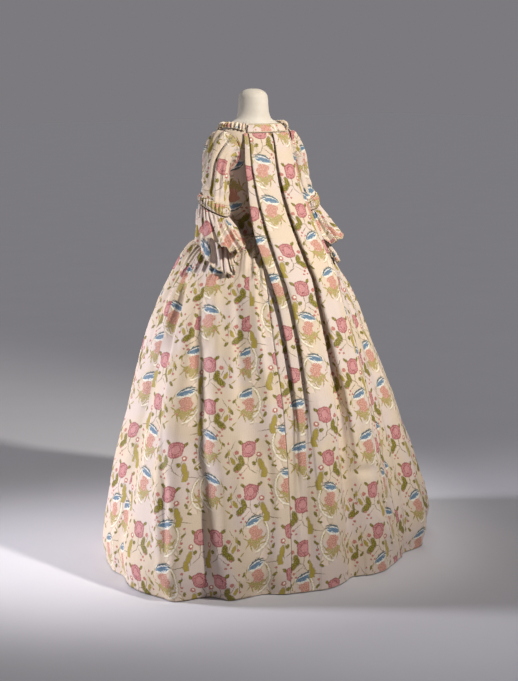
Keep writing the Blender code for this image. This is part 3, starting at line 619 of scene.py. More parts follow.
def skirt_piece(name, node, side, folds, creases, joins, material, edge, shift):
    rows, cols = 168, 216
    # levels at even distances along the cloth, closer over the hips
    fine_z = np.linspace(WAIST_Z, HEM_Z, 900)
    profile = skirt(np.full_like(fine_z, 90.0), fine_z)
    run = lengths(profile[:, None, :], 0)[:, 0]
    share = np.linspace(0, 1, rows)
    z_of = np.interp(run[-1] * (0.72 * share + 0.28 * share ** 2), run, fine_z)
    z_of = np.concatenate([z_of[:-1], [HEM_Z + 0.0014, HEM_Z]])
    rows += 1
    z = np.repeat(z_of[:, None], cols, 1)
    rear = rear_angle(z_of)
    down = (WAIST_Z - z_of) / WAIST_Z
    # the cloth's columns, shared out between the joins
    lines = [np.full(rows, 24.0)] + [j.hip + (j.hem - j.hip) * down for j in joins] + [rear]
    spans = np.array([line[-1] for line in lines[1:]]) - np.array([line[-1] for line in lines[:-1]])
    counts = np.maximum(np.round(spans / spans.sum() * (cols - 1)).astype(int), 8)
    counts[-1] += (cols - 1) - counts.sum()
    angle = np.empty((rows, cols))
    gore = np.empty(cols - 1, int)
    at = 0
    for k, count in enumerate(counts):
        s = np.linspace(0, 1, count + 1)
        angle[:, at:at + count + 1] = lines[k][:, None] * (1 - s) + lines[k + 1][:, None] * s
        gore[at:at + count] = k
        at += count
    p = skirt(angle, z, side, 0.0, folds)
    n = normals(p)
    n = outward(p, n, np.array([0.0, 0.0, 0.5]))
    p = pressed(p, n, angle, z, creases)
    # cartridge gathers under the waist, and slow unevenness everywhere
    edge_fade = ease((rear[:, None] - angle) / 5.0)
    top = ease((z - 0.90) / 0.12)
    arc = np.radians(angle) * np.hypot(p[..., 0], p[..., 1])
    beat = np.sin(angle * 0.86 + 2.4 * np.sin(angle * 0.17) + 0.6 * side)
    gather = 0.0058 * (0.75 * beat + 0.25 * np.sin(angle * 2.1)) * ease((z - 0.86) / 0.15) * ease((WAIST_Z - z) / 0.016)
    slow = 0.0022 * soft_noise(arc / 0.09, z / 0.16, 3 + side) + 0.0011 * soft_noise(arc / 0.035, z / 0.06, 9 + side)
    fine = 0.00045 * soft_noise(arc / 0.014, z / 0.020, 5 + side)
    hem = 0.0060 * soft_noise(arc / 0.11, 0.5, 4 + side) * ease((0.20 - z) / 0.20)
    tuck = 0.014 + 0.007 * soft_noise(arc / 0.16, 1.5, 14 + side) + 0.011 * np.exp(-(((angle - 118) / 17) ** 2))
    under = -tuck * ease((0.078 - z) / 0.078)
    move = under * edge_fade + gather + (slow + fine) * ease((WAIST_Z - z) / 0.05) * edge_fade + hem * edge_fade
    p = p + n * move[..., None]
    p[..., 2] = np.minimum(np.maximum(p[..., 2], HEM_Z - 0.0005), WAIST_Z)
    # UVs: each width keeps its own grain; neighbours match at knee height
    true = int(np.argmin(np.abs(z_of - 0.42)))
    across = lengths(p, 1)
    up = -lengths(p, 0)
    uv = np.empty((rows - 1, cols - 1, 4, 2))
    at = 0
    for k, count in enumerate(counts):
        mid = at + count // 2
        u = (across - across[:, mid:mid + 1]) + across[true, mid] + shift[0]
        v = up[:, mid:mid + 1] - up[-1, mid] + shift[1] + 0 * u
        w = np.stack([side * u, v], -1)
        here = slice(at, at + count)
        nxt = slice(at + 1, at + count + 1)
        uv[:, here] = np.stack([w[:-1, here], w[:-1, nxt], w[1:, nxt], w[1:, here]], 2)
        at += count
    obj = grid(name, p, uv, material, edge=edge, edge_rows=(-1,))
    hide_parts(node)
    return obj


# ---------------------------------------------------------------- sack back
# Creases on the train: ends by sideways place and height, width and depth.
Pinch = namedtuple("Pinch", "x0 z0 x1 z1 wide depth")
PINCHES = [
    Pinch(-0.020, 0.335, -0.120, 0.325, 0.016, -0.0085),
    Pinch(-0.125, 0.250, -0.235, 0.090, 0.013, -0.0127),
    Pinch(-0.100, 0.190, -0.200, 0.060, 0.016, 0.0085),
    Pinch(0.070, 0.200, 0.010, 0.060, 0.020, -0.0102),
    Pinch(0.110, 0.420, 0.080, 0.130, 0.016, 0.0076),
    Pinch(-0.050, 0.620, -0.075, 0.330, 0.018, -0.0076),
    Pinch(0.055, 0.900, 0.050, 0.640, 0.014, -0.0068),
    Pinch(-0.060, 0.880, -0.055, 0.660, 0.014, 0.0068),
    Pinch(0.170, 0.330, 0.185, 0.040, 0.018, -0.0093),
    Pinch(-0.170, 0.560, -0.150, 0.300, 0.016, -0.0076),
]
SPREAD = (4, 4, 3, 3, 9, 12, 9, 3, 4, 4, 3, 9, 4, 4, 8)     # points on each run between corners


def sack_section(z):
    """Fine, rounded half section of the sack: (sideways, outwards)."""
    corners = np.array(sack_corners(z))
    pts = []
    for k, count in enumerate(SPREAD):
        s = np.linspace(0, 1, count, endpoint=False)[:, None]
        pts.append(corners[k] * (1 - s) + corners[k + 1] * s)
    pts.append(corners[-1:])
    pts = np.concatenate(pts)
    crisp = None
    for k in range(46):
        inner = 0.25 * pts[:-2] + 0.5 * pts[1:-1] + 0.25 * pts[2:]
        pts = np.concatenate([pts[:1], inner, pts[-1:]])
        crisp = pts if k == 2 else crisp
    soft = float(ease((0.66 - z) / 0.40)) * 0.92
    return crisp * (1 - soft) + pts * soft


def sack_piece(material, edge):
    rows = 172
    fine_z = np.linspace(NAPE_Z, HEM_Z, 600)
    depth = read(SACK, "depth", fine_z)
    run = np.concatenate([[0], np.cumsum(np.hypot(np.diff(fine_z), np.diff(depth)))])
    levels = np.interp(np.linspace(0, run[-1], rows), run, fine_z)
    levels = np.concatenate([levels[:-1], [HEM_Z + 0.0014, HEM_Z]])
    rows += 1
    halves = [np.stack([sack_points(z, side, sack_section(z)) for z in levels]) for side in (1, -1)]
    p = np.concatenate([halves[1][:, ::-1], halves[0][:, 1:]], axis=1)
    mid = halves[0].shape[1] - 1
    z = p[..., 2]
    # pleat faces breathe: each sags and rolls in its own way towards the train
    n = normals(p)
    n = outward(p, n, np.array([0.0, 0.0, 0.7]))
    face = np.zeros(z.shape)
    starts = np.concatenate([[0], np.cumsum(SPREAD)])
    lower = ease((1.15 - z) / 0.7)
    for side, seed in ((1, 2.0), (-1, 6.0)):
        for k, amount in ((4, 1.0), (5, 1.0), (6, 1.0), (11, 0.5), (14, 0.0)):
            cols = mid + side * np.arange(starts[k], starts[k + 1] + 1)
            w = np.sin(np.linspace(0, math.pi, len(cols)))[None] if k in (11,) else 1.0
            face[:, cols] = np.maximum(face[:, cols], amount * w)
    x = p[..., 0]
    slow = 0.0040 * soft_noise(x / 0.075 + 3, z / 0.17, 7) * lower + 0.0010 * soft_noise(x / 0.03, z / 0.06, 8)
    fine = 0.0004 * soft_noise(x / 0.013, z / 0.019, 12)
    p = p + n * ((slow + fine) * face * ease((NAPE_Z - z) / 0.03))[..., None]
    fade = np.ones(z.shape)
    edge_cols = 10
    fade[:, :edge_cols] = np.linspace(0, 1, edge_cols)
    fade[:, -edge_cols:] = np.linspace(1, 0, edge_cols)
    for c in PINCHES:
        a, b = np.array([c.x0, c.z0]), np.array([c.x1, c.z1])
        q = np.stack([x, z], -1)
        t = np.clip(((q - a) @ (b - a)) / np.sum((b - a) ** 2), 0, 1)
        d = np.linalg.norm(q - (a + t[..., None] * (b - a)), axis=-1)
        push = c.depth * np.exp(-((d / c.wide) ** 2)) * (0.35 + 0.65 * np.sin(t * math.pi)) * fade
        p[..., 1] += push
    p[..., 2] = np.maximum(p[..., 2], HEM_Z - 0.0005)
    # UVs: each pleat keeps the grain of its own middle
    across, up = lengths(p, 1), -lengths(p, 0)
    cols = p.shape[1]
    uv = np.empty((rows - 1, cols - 1, 4, 2))
    bounds = sorted([mid - starts[10], mid - starts[2], mid + starts[2], mid + starts[10]])
    cuts = [0] + [int(b) for b in bounds] + [cols - 1]
    middles = [int(mid - starts[11] - 5), int(mid - starts[5] - 6), mid, int(mid + starts[5] + 6), int(mid + starts[11] + 5)]
    shifts = (0.118, 0.004, 0.060, -0.122, 0.008)
    for k in range(5):
        c, here, nxt = middles[k], slice(cuts[k], cuts[k + 1]), slice(cuts[k] + 1, cuts[k + 1] + 1)
        u = across - across[:, c:c + 1] + shifts[k]
        v = up[:, c:c + 1] + 0.055 + 0 * u
        w = np.stack([-u, v], -1)
        uv[:, here] = np.stack([w[:-1, here], w[:-1, nxt], w[1:, nxt], w[1:, here]], 2)
    obj = grid("sack_cloth", p, uv, material, edge=edge, edge_rows=(-1,))
    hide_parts("sack_back")
    return obj


# ---------------------------------------------------------------- petticoat and bodice
def petticoat_piece(material):
    rows, cols = 96, 84
    z = np.interp(np.linspace(0, 1, rows) ** 1.15, [0, 1], [1.0445, HEM_Z])
    angle = np.linspace(-28.5, 28.5, cols)
    angle, z = np.meshgrid(angle, z)
    a = np.radians(angle)
    r = skirt_radius(angle, z) - 0.0085
    r = r + 0.004 * np.cos(a * 22) * ease((0.95 - z) / 0.6)
    r = r + 0.0022 * soft_noise(angle / 6.0, z / 0.2, 21) * ease((1.0 - z) / 0.3)
    p = np.stack([r * np.sin(a), -r * np.cos(a), z], -1)
    obj = grid("petticoat_cloth", p, plain_uv(p, start=(0.03, 0.02)), material)
    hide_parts("petticoat_front")
    return obj


def bodice_pieces(material):
    made = []
    zs = np.linspace(BODICE_FOOT_Z, 1.382, 70)
    for name, node, side in (("bodice_back_cloth", "bodice_back", 0), ("bodice_left_cloth", "bodice_front_left", 1), ("bodice_right_cloth", "bodice_front_right", -1)):
        front, back, inner = (read(BODICE, n, zs) for n in ("front", "back", "inner"))
        s = np.linspace(0, 1, 60 if side == 0 else 30)
        if side == 0:
            angle = back[:, None] * (1 - s) + (360 - back[:, None]) * s
        else:
            angle = inner[:, None] * (1 - s) + front[:, None] * s
        z = np.repeat(zs[:, None], len(s), 1)
        p = torso(angle, z, 0.0)
        n = p * np.array([1, 1, 0])
        n /= np.linalg.norm(n, axis=-1)[..., None]
        ripple = 0.0007 * soft_noise(angle / 7.0, z / 0.020, 31 + side) + 0.0005 * soft_noise(angle / 3.0, z / 0.05, 35)
        p = p + n * np.minimum(ripple, 0.0009)[..., None]
        if side:
            p = p * np.array([side, 1, 1])
        obj = grid(name, p, plain_uv(p, start=(0.1 * side, 0.06)), material, middle=np.array([0, 0, 1.2]))
        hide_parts(node)
        made.append(obj)
    zs = np.linspace(BODICE_FOOT_Z, 1.232, 44)
    reach = read(BODICE, "inner", zs) - 1.2
    angle = reach[:, None] * np.linspace(-1, 1, 36)
    z = np.repeat(zs[:, None], 36, 1)
    p = torso(angle, z)
    n = p * np.array([1, 1, 0]) / np.hypot(p[..., 0], p[..., 1])[..., None]
    p = p + n * (0.0006 * soft_noise(angle / 6.0, z / 0.03, 41))[..., None]
    obj = grid("stomacher_cloth", p, plain_uv(p, start=(0.125, 0.03)), material, middle=np.array([0, 0, 1.1]))
    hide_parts("stomacher")
    made.append(obj)
    return made


# ---------------------------------------------------------------- sleeves
# Lengthwise folds of the sleeves: place round the arm at both ends in degrees,
# where each starts and ends, half width in degrees, and depth.
SleeveFold = namedtuple("SleeveFold", "top low start end wide depth")
SLEEVE_FOLDS = [
    SleeveFold(48, 58, 0.10, 0.86, 6.5, -0.0070),
    SleeveFold(64, 72, 0.18, 0.72, 8.0, 0.0042),
    SleeveFold(26, 34, 0.22, 0.94, 7.0, -0.0046),
    SleeveFold(10, 14, 0.30, 0.80, 8.0, 0.0036),
    SleeveFold(86, 100, 0.14, 0.60, 7.0, -0.0048),
    SleeveFold(118, 124, 0.30, 0.92, 8.0, -0.0042),
    SleeveFold(206, 214, 0.36, 0.90, 8.0, -0.0036),
    SleeveFold(300, 292, 0.30, 0.90, 8.0, -0.0034),
]
def sleeve_piece(side, word, material):
    rows, cols = 112, 104
    t = np.linspace(0, 1, rows)[:, None]
    turn = np.arange(cols)[None] * (360.0 / cols)
    p = sleeve(np.broadcast_to(t, (rows, cols)), np.broadcast_to(turn, (rows, cols)))
    n = normals(p, True)
    centre = p.mean(axis=1, keepdims=True)
    n = n if np.sum((p - centre) * n) > 0 else -n
    a = np.radians(turn + 11 * side)
    cap = ease((0.50 - t) / 0.42)
    over = 0.30 + 0.70 * ease((np.sin(a) + 0.45) / 0.9)          # over the shoulder, less under the arm
    bunch = np.maximum(np.cos(a * 14 + 1.1 * np.sin(a * 3)), -0.75) * 0.0056 * cap * ease(t / 0.03) * over
    puff = 0.0040 * ease(t / 0.08) * cap * over
    long_ = (0.0030 * np.cos(a * 5 + 1.3 + 1.6 * t) + 0.0022 * np.cos(a * 8 - 2.0 * t + 0.4)) * ease(t / 0.3)
    cross = 0.0034 * np.sin((t * 14 + 0.7 * np.cos(a)) * math.pi) * ease((t - 0.52) / 0.2) * ease((0.99 - t) / 0.08) * (0.35 + 0.65 * ease(-np.cos(a) + 0.2))
    slow = 0.0014 * soft_noise(turn / 24.0, t / 0.13, 51 + side)
    dents = np.zeros((rows, cols))
    for f in SLEEVE_FOLDS:
        line = f.top + (f.low - f.top) * t + 4.0 * np.sin(t * 5 + f.top)
        gap = (turn - line + 180.0) % 360.0 - 180.0
        dents += f.depth * ease((t - f.start) / 0.14) * ease((f.end - t) / 0.16) * np.exp(-((gap / f.wide) ** 2))
    move = puff + np.maximum(bunch + long_ + cross + slow, -0.0016) + dents
    free = ease((t - 0.02) / 0.10)
    p = p + n * (move * free)[..., None]
    p = clear_of_body(p, ARMHOLE["out"] + 0.0012)
    p = p * np.array([side, 1, 1])
    obj = grid("sleeve_cloth_" + word, p, plain_uv(p, True, start=(0.07 * side, 0.05), middle_col=0.25), material, closed=True, middle=p.mean(axis=1, keepdims=True))
    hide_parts("sleeve_" + word)
    return obj


def band_piece(side, word, material, edge):
    """Gathered strip over the flounces' seam."""
    rows, cols = 22, 210
    s = np.linspace(0, 1, rows)[:, None]
    turn = np.arange(cols)[None] * (360.0 / cols)
    t = CUFF_BAND["start"] + (1 - CUFF_BAND["start"]) * s
    p = sleeve(np.broadcast_to(t, (rows, cols)), np.broadcast_to(turn, (rows, cols)), CUFF_BAND["out"])
    n = normals(p, True)
    n = n if np.sum((p - p.mean(axis=1, keepdims=True)) * n) > 0 else -n
    a = np.radians(turn)
    body = np.sin(s * math.pi) ** 0.6
    frill = 0.0030 + 0.0024 * np.cos(a * 30 + 1.2 * np.sin(a * 5) + 2.0 * s) + 0.0010 * np.cos(a * 53 - 3 * s)
    flare = 0.0024 * (1 - body) * (1 + np.cos(a * 34 + 1.2 * np.sin(a * 5)))
    p = p + n * (frill * body + 0.0022 * body + flare * 0.6)[..., None]
    p = p * np.array([side, 1, 1])
    obj = grid("cuff_ruche_" + word, p, plain_uv(p, True, start=(0.02, 0.4)) * 0.8, material, closed=True, wall=0.0007,
               middle=p.mean(axis=1, keepdims=True), edge=edge, edge_rows=(0, -1))
    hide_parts("cuff_band_" + word)
    return obj


def flounce_piece(side, word, row, material, edge):
    rows, cols = 34, 288
    s = np.linspace(0, 1, rows)[:, None]
    turn = np.arange(cols)[None] * (360.0 / cols)
    S, T = np.broadcast_to(s, (rows, cols)), np.broadcast_to(turn, (rows, cols))
    p = flounce(row, S, T)
    n = normals(p, True)
    n = n if np.sum((p - p.mean(axis=1, keepdims=True)) * n) > 0 else -n
    a = np.radians(turn + (8 if row.name == "lower" else 0))
    rear = 0.5 + 0.5 * np.cos(a - math.radians(28))
    gather = 0.0026 * np.cos(a * 26 + 1.1 * np.sin(a * 4)) * ease((0.72 - s) / 0.5) * ease(s / 0.05 + 0.2)
    ripple = 0.0064 * np.cos(a * 13 + 0.8 * np.sin(a * 2) + side) * ease((s - 0.04) / 0.5) * (0.45 + 0.55 * rear)
    slow = 0.0018 * soft_noise(turn / 17.0, s * 3.0, 61 + side) * s
    p = p + n * (gather + ripple + slow)[..., None]
    # the lower edge is pinked in small scallops grouped in larger ones
    small = np.abs(np.sin(a * 36))
    large = np.abs(np.sin(a * 9))
    drop = (0.0018 * small + 0.0035 * large) * ease((s - 0.80) / 0.20)
    p[..., 2] -= np.broadcast_to(drop, p.shape[:2])
    p = p * np.array([side, 1, 1])
    obj = grid("flounce_cloth_" + row.name + "_" + word, p, plain_uv(p, True, start=(0.025, 0.11) if row.name == "upper" else (0.15, 0.18)), material,
               closed=True, wall=0.0007, middle=p.mean(axis=1, keepdims=True), edge=edge, edge_rows=(-1,))
    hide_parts("flounce_" + row.name + "_" + word)
    return obj


# ---------------------------------------------------------------- neck trims
def robing_piece(side, word, material, edge):
    """The ruched strip from the neckband round the shoulder and down the front."""
    rows, cols = 380, 20
    t = np.linspace(0, 1, rows)
    angle = through(t, [0, 0.12, 0.24, 0.4, 0.6, 1.0], [128, 104, 80, 60, 44, 20.5])
    z = through(t, [0, 0.12, 0.24, 0.4, 0.6, 1.0], [1.388, 1.394, 1.392, 1.355, 1.270, 1.062])
    centre = torso(angle, z, 0.0056)
    u = torso(angle + 1.0, z) - torso(angle - 1.0, z)
    v = torso(angle, z + 0.002) - torso(angle, z - 0.002)
    n = np.cross(u, v)
    n /= np.linalg.norm(n, axis=1)[:, None]
    run = np.gradient(centre, axis=0)
    run /= np.linalg.norm(run, axis=1)[:, None]
    across = np.cross(n, run)
    across /= np.linalg.norm(across, axis=1)[:, None]
    s = np.linspace(-1, 1, cols)[None]
    length = lengths(centre[:, None, :], 0)
    beat = length / 0.0105
    pucker = np.cos(2 * math.pi * beat + 1.3 * np.sin(length * 90) + 1.1 * s)
    crown = 1 - s ** 2
    wide = 0.0150 + 0.0024 * pucker
    lift = 0.0046 * crown + 0.0032 * (pucker + 1) * (0.35 + 0.65 * crown) + 0.0008 * np.cos(2 * math.pi * beat * 1.7 + 3 * s)
    stitched = np.exp(-(((np.abs(s) - 0.72) / 0.16) ** 2))
    lift = lift * (1 - 0.55 * stitched)
    p = centre[:, None] + across[:, None] * (wide * s)[..., None] + n[:, None] * lift[..., None]
    p = p * np.array([side, 1, 1])
    uv = np.stack([s * 0.012 + 0.09 * side + 0 * length, -length * 1.5 + 0.41 + 0 * s], -1)
    obj = grid("robing_ruche_" + word, p, uv, material, wall=0.0007, middle=np.array([0, 0, 1.2]), edge=edge, edge_cols=(0, -1))
    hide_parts("robing_" + word)
    return obj


def neckband_piece(material, edge):
    rows, cols = 18, 110
    z = np.linspace(1.3722, 1.3988, rows)[:, None]
    angle = np.linspace(131.5, 228.5, cols)[None]
    z, angle = np.broadcast_arrays(z, angle)
    roll = np.sin((z - 1.3722) / 0.0266 * math.pi)
    out = 0.0068 + 0.0014 * roll + 0.0005 * soft_noise(angle / 4.0, z / 0.01, 71)
    piping = 0.0012 * (np.exp(-(((z - 1.3732) / 0.0011) ** 2)) + np.exp(-(((z - 1.3978) / 0.0011) ** 2)))
    p = torso(angle, z, out + piping)
    obj = grid("neckband_cloth", p, plain_uv(p, start=(0.02, 0.07)), material, wall=0.0018, middle=np.array([0, 0, 1.385]), edge=edge, edge_rows=(0, 1, -1, -2))
    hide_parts("neckband")
    return obj


# ---------------------------------------------------------------- dress form
def form_piece(material):
    rows, cols = 120, 96
    crown = 1.478
    z = np.concatenate([np.linspace(0.8802, crown, rows - 26), crown + 0.0298 * np.sin(np.linspace(0.04, 1, 26) * math.pi / 2)])
    turn = np.arange(cols) * (360.0 / cols)
    rings = []
    for level in z:
        ring = torso(turn, np.full(cols, min(level, crown)), -FORM_INSET)
        ring[:, :2] *= max(1 - (max(level - crown, 0.0) / 0.030) ** 2, 0.0) ** 0.42
        ring[:, 2] = level
        rings.append(ring)
    p = np.array(rings)
    bm = bmesh.new()
    verts = [[bm.verts.new(q) for q in ring] for ring in p]
    for a, b in zip(verts[:-1], verts[1:]):
        for i in range(cols):
            j = (i + 1) % cols
            bm.faces.new((a[i], a[j], b[j], b[i]))
    bm.faces.new(verts[0][::-1])
    top = bm.verts.new((0, float(p[-1, :, 1].mean()), 1.508))
    for i in range(cols):
        bm.faces.new((verts[-1][i], verts[-1][(i + 1) % cols], top))
    bmesh.ops.recalc_face_normals(bm, faces=bm.faces)
    mesh = bpy.data.meshes.new("form_cover")
    bm.to_mesh(mesh)
    bm.free()
    mesh.materials.append(material)
    mesh.shade_smooth()
    obj = bpy.data.objects.new("form_cover", mesh)
    bpy.context.scene.collection.objects.link(obj)
    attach(obj, "root")
    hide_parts("form_torso")
    return obj


# ---------------------------------------------------------------- materials
class Graph:
    """Small helper that writes shader nodes as expressions."""

    def __init__(self, name):
        self.material = bpy.data.materials.new(name)
        self.material.use_nodes = True
        self.tree = self.material.node_tree
        self.shader = self.tree.nodes["Principled BSDF"]

    def put(self, socket, value):
        if isinstance(value, bpy.types.NodeSocket):
            self.tree.links.new(value, socket)
        elif value is not None:
            socket.default_value = value

    def new(self, kind, **fields):
        node = self.tree.nodes.new("ShaderNode" + kind)
        for key, value in fields.items():
            setattr(node, key, value)
        return node

    def m(self, op, *args):
        node = self.new("Math", operation=op)
        for socket, value in zip(node.inputs, args):
            self.put(socket, value)
        return node.outputs[0]

    def share(self, value):
        """The value held between 0 and 1."""
        return self.m("MINIMUM", self.m("MAXIMUM", value, 0.0), 1.0)

    def vec(self, x, y, z=0.0):
        node = self.new("CombineXYZ")
        for socket, value in zip(node.inputs, (x, y, z)):
            self.put(socket, value)
        return node.outputs[0]

    def new_x(self, p):
        node = self.new("SeparateXYZ")
        self.put(node.inputs[0], p)
        return node.outputs[0]

    def squared(self, p, x, y, rx, ry, turn=0.0):
        """Square of the distance from an ellipse's middle, 1 on its rim; p's third value is 1."""
        c, s = math.cos(math.radians(turn)), math.sin(math.radians(turn))
        total = None
        for ax, ay in ((c / rx, s / rx), (-s / ry, c / ry)):
            dot = self.new("VectorMath", operation="DOT_PRODUCT")
            self.put(dot.inputs[0], p)
            dot.inputs[1].default_value = (ax, ay, -(ax * x + ay * y))
            d = dot.outputs["Value"]
            total = self.m("MULTIPLY", d, d) if total is None else self.m("MULTIPLY_ADD", d, d, total)
        return total

    def nearest(self, p, shapes):
        found = None
        for shape in shapes:
            d = self.squared(p, *shape)
            found = d if found is None else self.m("MINIMUM", found, d)
        return self.m("SQRT", found)

    def near(self, p, *shape):
        return self.nearest(p, [shape])

    def fill(self, d, soft=0.12, rim=1.0):
        """1 inside the rim, 0 outside."""
        return self.share(self.m("MULTIPLY_ADD", d, -1 / soft, rim / soft + 0.5))

    def band(self, value, low, high):
        node = self.new("MapRange", interpolation_type="SMOOTHSTEP", clamp=False)
        for socket, v in zip(node.inputs[:5], (value, low, high, 0.0, 1.0)):
            self.put(socket, v)
        return node.outputs[0]

    def mix(self, factor, a, b, kind="MIX"):
        node = self.new("Mix", data_type="RGBA", blend_type=kind, clamp_factor=True)
        self.put(node.inputs[0], factor)
        for socket, colour in ((node.inputs[6], a), (node.inputs[7], b)):
            if isinstance(colour, tuple):
                colour = (*colour, 1.0)
            self.put(socket, colour)
        return node.outputs[2]

    def noise(self, p, scale, detail=1.0, rough=0.5, dims="2D"):
        node = self.new("TexNoise", noise_dimensions=dims)
        self.put(node.inputs["Vector"], p)
        node.inputs["Scale"].default_value = scale
        node.inputs["Detail"].default_value = detail
        node.inputs["Roughness"].default_value = rough
        return node.outputs["Fac"], node.outputs["Color"]


# The silk's repeat, in millimetres: two columns side by side, and rows that
# swap columns every second row.
REPEAT_W, ROW_H = 250.0, 132.5
ROSE_RISE = 34.0

GROUND = (0.74, 0.61, 0.475)
GROUND_COOL = (0.73, 0.615, 0.565)
CREAM = (0.90, 0.84, 0.70)
TAN = (0.46, 0.345, 0.215)
RIBBON = (0.86, 0.76, 0.64)
BLUE, BLUE_MID, BLUE_PALE, TEAL = (0.05, 0.12, 0.215), (0.18, 0.285, 0.385), (0.52, 0.56, 0.64), (0.03, 0.06, 0.08)
CORAL, CORAL_PALE, RUST = (0.56, 0.25, 0.185), (0.76, 0.49, 0.40), (0.27, 0.075, 0.05)
MOSS, MUSTARD, OLIVE = (0.30, 0.245, 0.07), (0.43, 0.33, 0.06), (0.14, 0.13, 0.02)
ROSE, ROSE_PALE, WINE = (0.40, 0.12, 0.125), (0.66, 0.33, 0.33), (0.145, 0.028, 0.035)
STEM = (0.17, 0.12, 0.05)

SHELL = [(0, 104, 31, 16, 14)]                        # pale body of the shell
STROKES = [(-12, 100, 17, 2.7, 24), (-4, 106, 20, 3.2, 19), (8, 104, 17, 2.8, 13), (14, 111, 14, 2.3, 22),
           (-6, 97, 13, 2.0, 10), (19, 104, 9, 2.0, 32)]
LASHES = [(-16, 110, 12, 1.9, 44), (-6, 115, 14, 2.1, 30), (6, 119, 13, 1.9, 22), (18, 119, 11, 1.8, 8),
          (26, 113, 8, 1.6, -12), (-24, 101, 7, 1.6, 60)]
RUFFLE = [(4, 82, 17, 9, 10), (17, 71, 14, 10, -24), (2, 69, 13, 10, 8), (15, 57, 12, 9, 28), (-8, 77, 10, 8, 0),
          (-2, 58, 9, 7, 0)]
BASE = [(3, 42, 25, 7, -12), (-17, 48, 11, 6, 40), (22, 46, 13, 6.5, 35), (4, 31, 11, 9, 80), (-8, 36, 9, 5, 0)]
SPRIGS = [(-26, 34, 11, 2.0, 50), (-13, 26, 12, 2.0, 110), (15, 24, 12, 2.0, 60), (31, 35, 11, 2.0, 20),
          (-29, 53, 10, 1.8, 150), (36, 54, 11, 1.8, 60), (-34, 92, 9, 1.7, 70), (38, 92, 9, 1.7, 112),
          (-38, 74, 9, 1.7, 100), (48, 12, 10, 1.8, 140), (-46, 10, 10, 1.8, 40)]
BERRIES = [(-16, 38, 3.2, 3.2, 0), (10, 48, 3.2, 3.2, 0), (26, 52, 2.8, 2.8, 0), (-2, 50, 2.8, 2.8, 0), (-30, 64, 2.8, 2.8, 0)]
BLOOM = [(125, 96, 23, 24, 0), (134, 85, 15, 13, 0), (114, 105, 14, 13, 0), (136, 105, 13, 12, 0), (113, 87, 11, 10, 0)]
HEART = [(121, 101, 10, 11, 20), (134, 92, 8, 9, -30), (117, 88, 6, 8, 30)]
FOLDED = [(125, 97, 13.5, 14.5, 10)]
BUD = [(92, 70, 9, 8, 20), (166, 88, 7, 6.5, 0)]
DROPS = [(159, 20, 4.6, 4.0, 30), (168, 30, 4.0, 3.6, 0), (151, 9, 4.2, 3.4, 0), (166, 10, 3.6, 3.0, 0), (61, 84, 4.6, 4.2, 0),
         (56, 72, 3.6, 3.2, 0), (-56, 60, 4.4, 4.0, 0), (66, 126, 4.4, 4.0, 0), (-60, 118, 4.2, 3.8, 0)]
LEAVES = [(152, 62, 15.5, 8.0, 75), (164, 43, 15.5, 8.8, -42), (107, 51, 7, 5, 30), (96, 112, 8, 4.4, 140), (152, 118, 8, 4.4, 40)]
YELLOW = [(87, 38, 18.5, 8.4, 74), (80, 11, 19, 8.6, 104), (180, 64, 12, 5.4, 60), (-62, 92, 10, 4.8, 110)]
STEMS = [(127, 64, 15, 1.3, 96), (126, 42, 11, 1.2, 62), (113, 27, 16, 1.2, 33), (142, 52, 15, 1.1, 20),
         (100, 56, 18, 1.0, 118), (92, 27, 14, 1.1, 100), (145, 30, 18, 1.0, -38), (60, 12, 23, 1.1, 10),
         (62, 100, 20, 1.0, 70), (170, 74, 16, 1.0, 64), (-58, 76, 22, 1.0, 84), (178, 108, 16, 0.9, 120)]
GREENS = [(60, 60, 8, 3.8, 60), (-52, 82, 8, 3.6, 110), (63, 106, 8, 3.6, 40), (48, 36, 7, 3.4, 20), (-54, 30, 8, 3.6, 130),
          (-44, 116, 7, 3.2, 60)]


